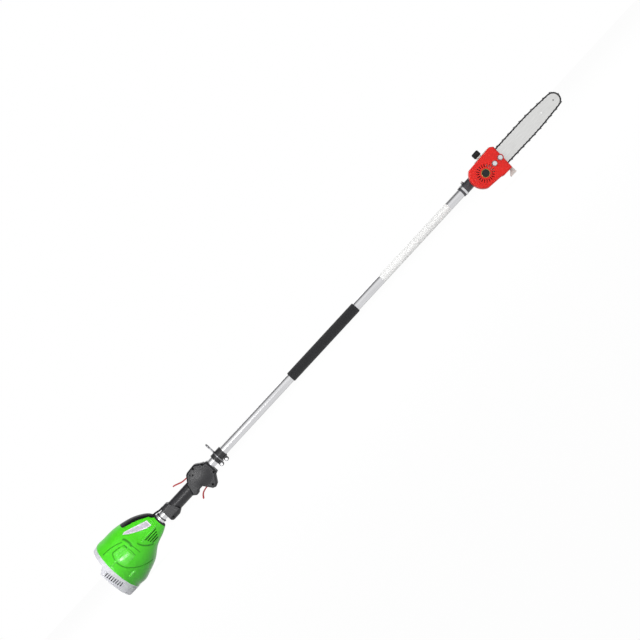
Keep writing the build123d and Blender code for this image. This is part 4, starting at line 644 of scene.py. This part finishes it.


# Painted shade: a dark sheet stands where there is only shade inside the louvres.
for side, hand in SIDES:
    spots = []
    for number in range(SHADE_SHEET_COLUMNS):
        x = SHADE_SHEET_START + SHADE_SHEET_PITCH * number
        lowest = floor_of(shells, x, side * 0.004) + 0.004
        for z in SHADE_SHEET_ROWS:
            hit, normal = throw(shells, side, x, max(z, lowest))
            spots.append(hit - normal * math.copysign(SHADE_SHEET_DEPTH, normal.y * side))
        hem = spots[-1].copy()
        hem.z = min(hem.z - 0.0005, floor_of(shells, x, hem.y) + 0.0012)
        spots.append(hem)
    skin(f"vent_shade_sheet_{hand}", spots, len(SHADE_SHEET_ROWS) + 1, side, rubber_black)
print("two shade sheets")

# %% [markdown]
# A printed border, a cord-thin ridge and a badge's rim are all the same thing: a bent line with a
# width. One function throws such a line at a surface and gives it a low round back.

# %% Borders and ridges
RIDGE_STEP = 0.0012
RIDGE_SPREAD = 0.0006
RIDGE_DIVE = 0.00025
RIDGE_ROWS = 5


def ridge(name, target, side, line, width, height, material, closed=True):
    """A low rounded ridge along a bent line in side view, thrown at a surface."""
    run = list(line) + [line[0]] if closed else list(line)
    dense = []
    for (x0, z0), (x1, z1) in zip(run, run[1:]):
        pieces = max(1, int(math.dist((x0, z0), (x1, z1)) / RIDGE_STEP))
        dense += [(x0 + (x1 - x0) * n / pieces, z0 + (z1 - z0) * n / pieces) for n in range(pieces)]
    dense.append(run[-1])
    points = []
    count = len(dense)
    for number, (x, z) in enumerate(dense):
        before = dense[(number - 1) % (count - 1)] if closed else dense[max(0, number - 1)]
        after = dense[(number + 1) % (count - 1)] if closed else dense[min(count - 1, number + 1)]
        tangent = Vector((after[0] - before[0], after[1] - before[1])).normalized()
        for row in range(RIDGE_ROWS):
            across = 2 * row / (RIDGE_ROWS - 1) - 1
            px = x - tangent.y * across * width / 2
            pz = z + tangent.x * across * width / 2
            hit, normal = thrown(target, side, px, pz, RIDGE_SPREAD)
            rise = height * (1 - across * across) - RIDGE_DIVE * abs(across)
            points.append(None if hit is None else hit + normal * rise)
    skin(name, points, RIDGE_ROWS, side, material)


def ring_line(centre, radius, start=0.0, end=360.0):
    """Points every 5 degrees round a circle in side view, angles in degrees."""
    count = int(abs(end - start) / 5)
    angles = [math.radians(start + (end - start) * n / count) for n in range(count + 1)]
    return [(centre[0] + radius * math.cos(a), centre[1] + radius * math.sin(a)) for a in angles]


LABEL_LINE = (
    (0.1300, 0.0515), (0.1365, 0.0530), (0.1600, 0.0445), (0.1850, 0.0340), (0.2045, 0.0262),
    (0.2045, 0.0085), (0.1905, 0.0128), (0.1660, 0.0258), (0.1425, 0.0418),
)
labels = surface_of("label_plates")
for side, hand in SIDES:
    border = {"width": 0.0036, "height": 0.0004, "material": white_film}
    ridge(f"label_border_{hand}", labels, side, LABEL_LINE, **border)

BADGE_CENTRE = (1.693, -0.013)
cover = surface_of("sprocket_cover", "cover_badge")
rim_line = ring_line(BADGE_CENTRE, radius=0.0130)[:-1]
ridge("badge_rim", cover, -1, rim_line, width=0.0019, height=0.0007, material=gold_rim)
cover_line = ring_line(BADGE_CENTRE, radius=0.0355, start=62, end=298)
ring = {"width": 0.0040, "height": 0.0009, "material": red_cover, "closed": False}
ridge("cover_ring", cover, -1, cover_line, **ring)
print("borders, rim and ridge are on")

# %% [markdown]
# The front grip is a foam sleeve pulled over the tube. Foam is never dead round: its ends roll over
# and it dimples where fingers close on it, so the sleeve is turned from a radius that wanders by a
# few tenths of a millimetre. It takes the place of the plain solid.

# %% Foam sleeve
GRIP_RINGS = 150
GRIP_SIDES = 72
GRIP_BORE = 0.01405
GRIP_ROLL = 0.0016
GRIP_DIMPLE = 0.00014


def ring_faces(rings, sides):
    """The faces between rings of points, where each ring has the same number of sides."""
    faces = []
    for ring in range(rings - 1):
        for number in range(sides):
            after = (number + 1) % sides
            first, second = ring * sides, (ring + 1) * sides
            faces.append((first + after, second + after, second + number, first + number))
    return faces


grip_low, grip_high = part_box("foam_grip")
grip_radius = (grip_high.z - grip_low.z) / 2
grip_lip = GRIP_BORE + GRIP_ROLL
profile = [(grip_low.x, GRIP_BORE), (grip_low.x, grip_lip)]
for number in range(GRIP_RINGS + 1):
    share = number / GRIP_RINGS
    x = grip_low.x + (grip_high.x - grip_low.x) * share
    from_end = min(x - grip_low.x, grip_high.x - x)
    roll = math.sqrt(max(0.0, 1 - (1 - min(1.0, from_end / GRIP_ROLL)) ** 2))
    profile.append((x, grip_lip + (grip_radius - grip_lip) * roll))
profile += [(grip_high.x, grip_lip), (grip_high.x, GRIP_BORE)]
points = []
for x, radius in profile:
    for number in range(GRIP_SIDES):
        angle = 2 * math.pi * number / GRIP_SIDES
        dimple = noise.noise(Vector((x * 60, 3 * math.cos(angle), 3 * math.sin(angle)))) - 1
        reach = radius + (GRIP_DIMPLE * dimple if radius > GRIP_BORE + 0.001 else 0)
        points.append(Vector((x, reach * math.cos(angle), reach * math.sin(angle))))
sleeve_mesh = bpy.data.meshes.new("foam_sleeve")
sleeve_mesh.from_pydata(points, [], ring_faces(len(profile), GRIP_SIDES))
sleeve = linked("foam_sleeve", sleeve_mesh, grip_foam)
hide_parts("foam_grip")
print("sleeve", len(points), "points")

# %% [markdown]
# Two more round pieces. A printed film is wrapped once round the pole in front of the grip, a hair
# thicker than the tube, and its ends turn down so that no gap shows. The oil cap has ribs for wet
# gloves: a turned skin whose radius goes up and down with a cosine. It rides on the cap, so it
# lifts with it.


# %% Wrapped film and cap ribs
def turned(
    name,
    axis_point,
    profile,
    material,
    sides=96,
    ribs=0,
    rib_depth=0.0,
    upright=False,
    body="frame",
):
    """A skin turned about the pole's axis or an upright axis, with ribs round it if asked."""
    made_points = []
    for place, radius in profile:
        for number in range(sides):
            angle = 2 * math.pi * number / sides
            reach = radius + rib_depth * (0.5 + 0.5 * math.cos(ribs * angle) if ribs else 0)
            u, v = reach * math.cos(angle), reach * math.sin(angle)
            if upright:
                made_points.append((axis_point[0] + u, axis_point[1] + v, place))
            else:
                made_points.append((place, axis_point[0] + u, axis_point[1] + v))
    mesh = bpy.data.meshes.new(name)
    mesh.from_pydata(made_points, [], ring_faces(len(profile), sides))
    return linked(name, mesh, material, body)


FILM_ENDS = (1.243, 1.547)
FILM_RADIUS = 0.01412
film = [(FILM_ENDS[0], 0.0139), (FILM_ENDS[0], 0.0141)]
film += [(FILM_ENDS[0] + 0.0003, FILM_RADIUS), (FILM_ENDS[0] + 0.0010, FILM_RADIUS)]
film += [(FILM_ENDS[0] + FILM_ENDS[1] - place, radius) for place, radius in reversed(film)]
turned("pole_film", (0, 0), film, white_film)

CAP_RIBS = 24
RIB_DEPTH = 0.0007
cap_low, cap_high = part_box("oil_cap")
cap_middle = ((cap_low.x + cap_high.x) / 2, (cap_low.y + cap_high.y) / 2)
cap_radius = (cap_high.x - cap_low.x) / 2
cap_profile = [
    (cap_low.z + 0.0015, cap_radius - 0.0006),
    (cap_low.z + 0.0020, cap_radius + 0.0001),
    (cap_high.z - 0.0030, cap_radius + 0.0001),
    (cap_high.z - 0.0024, cap_radius - 0.0006),
]
turned(
    "cap_ribs",
    cap_middle,
    cap_profile,
    black_small,
    sides=8 * CAP_RIBS,
    ribs=CAP_RIBS,
    rib_depth=RIB_DEPTH,
    upright=True,
    body="filler_cap",
)
print("film and cap ribs are on")

# %% [markdown]
# The small wheel in the bar's nose turns on a pin whose ends are hammered into low domes on both
# faces of the bar. It is a hair wider than its hole, so that no light shows round it, and a shorter
# one is the dark head on the handle's block. The two nuts on the cover have a cone between hexagon
# and flange, and on plated steel that cone is what flashes bright and dark. All are turned upright
# and then laid along Y.


# %% Pins and nut cones
def laid(name, place, profile, material, sides):
    """A skin turned upright and then laid along Y, with its top to the right side of the saw."""
    made = turned(name, (0, 0), profile, material, sides, upright=True)
    made.data.transform(Matrix.Translation(place) @ Matrix.Rotation(math.pi / 2, 4, "X"))


def pin(name, middle, radius, length, material):
    """A round pin along Y, with a chamfer and a low dome on both heads."""
    top = length / 2
    head = [(top, 0.02), (top - 0.00005, 0.45), (top - 0.0002, 0.82), (top - 0.0005, 1.0)]
    profile = [(-place, share * radius) for place, share in head]
    profile += [(place, share * radius) for place, share in reversed(head)]
    laid(name, middle, profile, material, 32)


HEAD_LIFT = 0.0005
PIN_HEAD_AT = (0.4025, 0.0174)
bar_low, bar_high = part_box("guide_bar")
wheel_low, wheel_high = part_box("nose_sprocket")
wheel_middle = (wheel_low + wheel_high) / 2
wheel_middle.y = (bar_low.y + bar_high.y) / 2
nose_length = bar_high.y - bar_low.y + 2 * HEAD_LIFT
pin("nose_pin", wheel_middle, radius=0.0021, length=nose_length, material=screw_metal)
head_seat, _ = thrown(handles, -1, *PIN_HEAD_AT)
pin("handle_pin_head", head_seat, radius=0.0029, length=0.0030, material=screw_metal)
print("pin heads on the bar's nose and the handle")

FLANGE_RADIUS = 0.0085
HEXAGON_HEIGHT = 0.005
CONE = [(-0.0006, 0.0083), (0.0, 0.0084), (0.0028, 0.0061)]
nut_low, nut_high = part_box("bar_nuts")
for hand, x in (("rear", nut_low.x + FLANGE_RADIUS), ("front", nut_high.x - FLANGE_RADIUS)):
    place = Vector((x, nut_low.y + HEXAGON_HEIGHT, (nut_low.z + nut_high.z) / 2))
    laid(f"nut_cone_{hand}", place, CONE, bright_plate, 48)
print("two nut cones")

# %% [markdown]
# The studio is plain: a pale floor under the lowest point, white air all round, and four soft
# lamps. What the camera sees is plain white, but what a glossy surface sees fades to grey above and
# behind the saw, as if dark flags stood there, so that round metal gets a darker band. Two of the
# lamps also hide from bright metal: mirrored in a round tube, they would burn its upper half out to
# white.


# %% Studio
class Sky(Finish):
    """The world's own tree, with the same sums as a material."""

    def __init__(self, name):
        self.world = bpy.data.worlds.new(name)
        self.world.use_nodes = True
        self.tree = self.world.node_tree
        self.shader = self.tree.nodes["Background"]


FLOOR_GAP = 0.0005
FLOOR_X = (-9, 11)
FLOOR_Y = (-9, 9)
FLOOR_TONE = (0.7, 0.7, 0.7, 1)
WHITE = (1, 1, 1, 1)
SEEN_LEVEL = 1.08
SEEN_SHARE = 0.88  # the rest is plain floor, which keeps the saw's shadow
MIRROR_LEVEL = 1.1
FLAG_DEPTH = 0.75
low = cad_box[0].z - FLOOR_GAP
corners = [(FLOOR_X[i], FLOOR_Y[j], low) for i, j in ((0, 0), (1, 0), (1, 1), (0, 1))]
floor_mesh = bpy.data.meshes.new("studio_floor")
floor_mesh.from_pydata(corners, [], [(0, 1, 2, 3)])
floor = bpy.data.objects.new("studio_floor", floor_mesh)
bpy.context.scene.collection.objects.link(floor)
floor_finish = Finish("pale floor")
floor_finish.shade(Base_Color=FLOOR_TONE, Roughness=0.9)
seen = floor_finish.node("LightPath", output="Is Camera Ray")
glossy = floor_finish.node("LightPath", output="Is Glossy Ray")
spot = floor_finish.node("NewGeometry", output="Position")
behind = floor_finish.node("SeparateXYZ", None, [spot], "Y").between(0.03, 0.16)
level = seen * SEEN_LEVEL + glossy * (MIRROR_LEVEL - behind * FLAG_DEPTH)
glow = floor_finish.node("Emission", None, {"Color": WHITE, "Strength": level})
surface = floor_finish.node("MixShader", None, {0: seen * SEEN_SHARE + glossy, 2: glow})
floor_finish.tree.links.new(floor_finish.shader.outputs[0], surface.socket.node.inputs[1])
floor_output = floor_finish.tree.nodes["Material Output"]
floor_finish.tree.links.new(surface.socket, floor_output.inputs["Surface"])
floor_mesh.materials.append(floor_finish.material)

FRONT_GLOW = (-0.2, -0.93, 0.3)
BACK_GLOW = (-0.2, 0.93, 0.3)
SOFT_AIR = 0.28
sky = Sky("studio")
bpy.context.scene.world = sky.world
direct = sky.node("LightPath", output="Is Camera Ray")
glossy = sky.node("LightPath", output="Is Glossy Ray")
heading = sky.node("TexCoord", output="Generated")
towards = {"operation": "DOT_PRODUCT"}
before = sky.node("VectorMath", towards, [heading, FRONT_GLOW], "Value")
beyond = sky.node("VectorMath", towards, [heading, BACK_GLOW], "Value")
mirrored = 0.25 + before.between(0.35, 0.95) + beyond.between(0.45, 0.98) * 0.6
sky.shade(Color=WHITE)
sky.shade(Strength=direct + (1 - direct) * (glossy * mirrored + (1 - glossy) * SOFT_AIR))


def lamp(name, place, target, size, watts, mirrored):
    """A soft lamp that points at a target and hides from the camera, or from bright metal too."""
    data = bpy.data.lights.new(name, "AREA")
    data.shape = "RECTANGLE"
    data.size, data.size_y = size
    data.energy = watts
    made = bpy.data.objects.new(name, data)
    made.location = place
    made.rotation_euler = (Vector(target) - Vector(place)).to_track_quat("-Z", "Y").to_euler()
    made.visible_camera = False
    made.visible_glossy = mirrored
    bpy.context.scene.collection.objects.link(made)


# Place, target, width and height, power in watts, and whether bright metal mirrors it.
LAMPS = {
    "strip_softbox": ((0.9, -1.4, 0.40), (0.9, 0, 0), (2.8, 0.14), 11, False),
    "top_softbox": ((0.3, -1.2, 2.4), (0.8, 0, 0), (2.4, 1.0), 34, False),
    "shell_softbox": ((0.08, -1.5, 0.24), (0.1, 0, 0), (0.5, 0.36), 6, True),
    "back_softbox": ((1.0, 2.6, 2.2), (1.0, 0, 0), (1.6, 1.6), 14, True),
}
for name, settings in LAMPS.items():
    lamp(name, *settings)
bpy.context.scene.view_settings.view_transform = "Standard"
print("studio is lit")
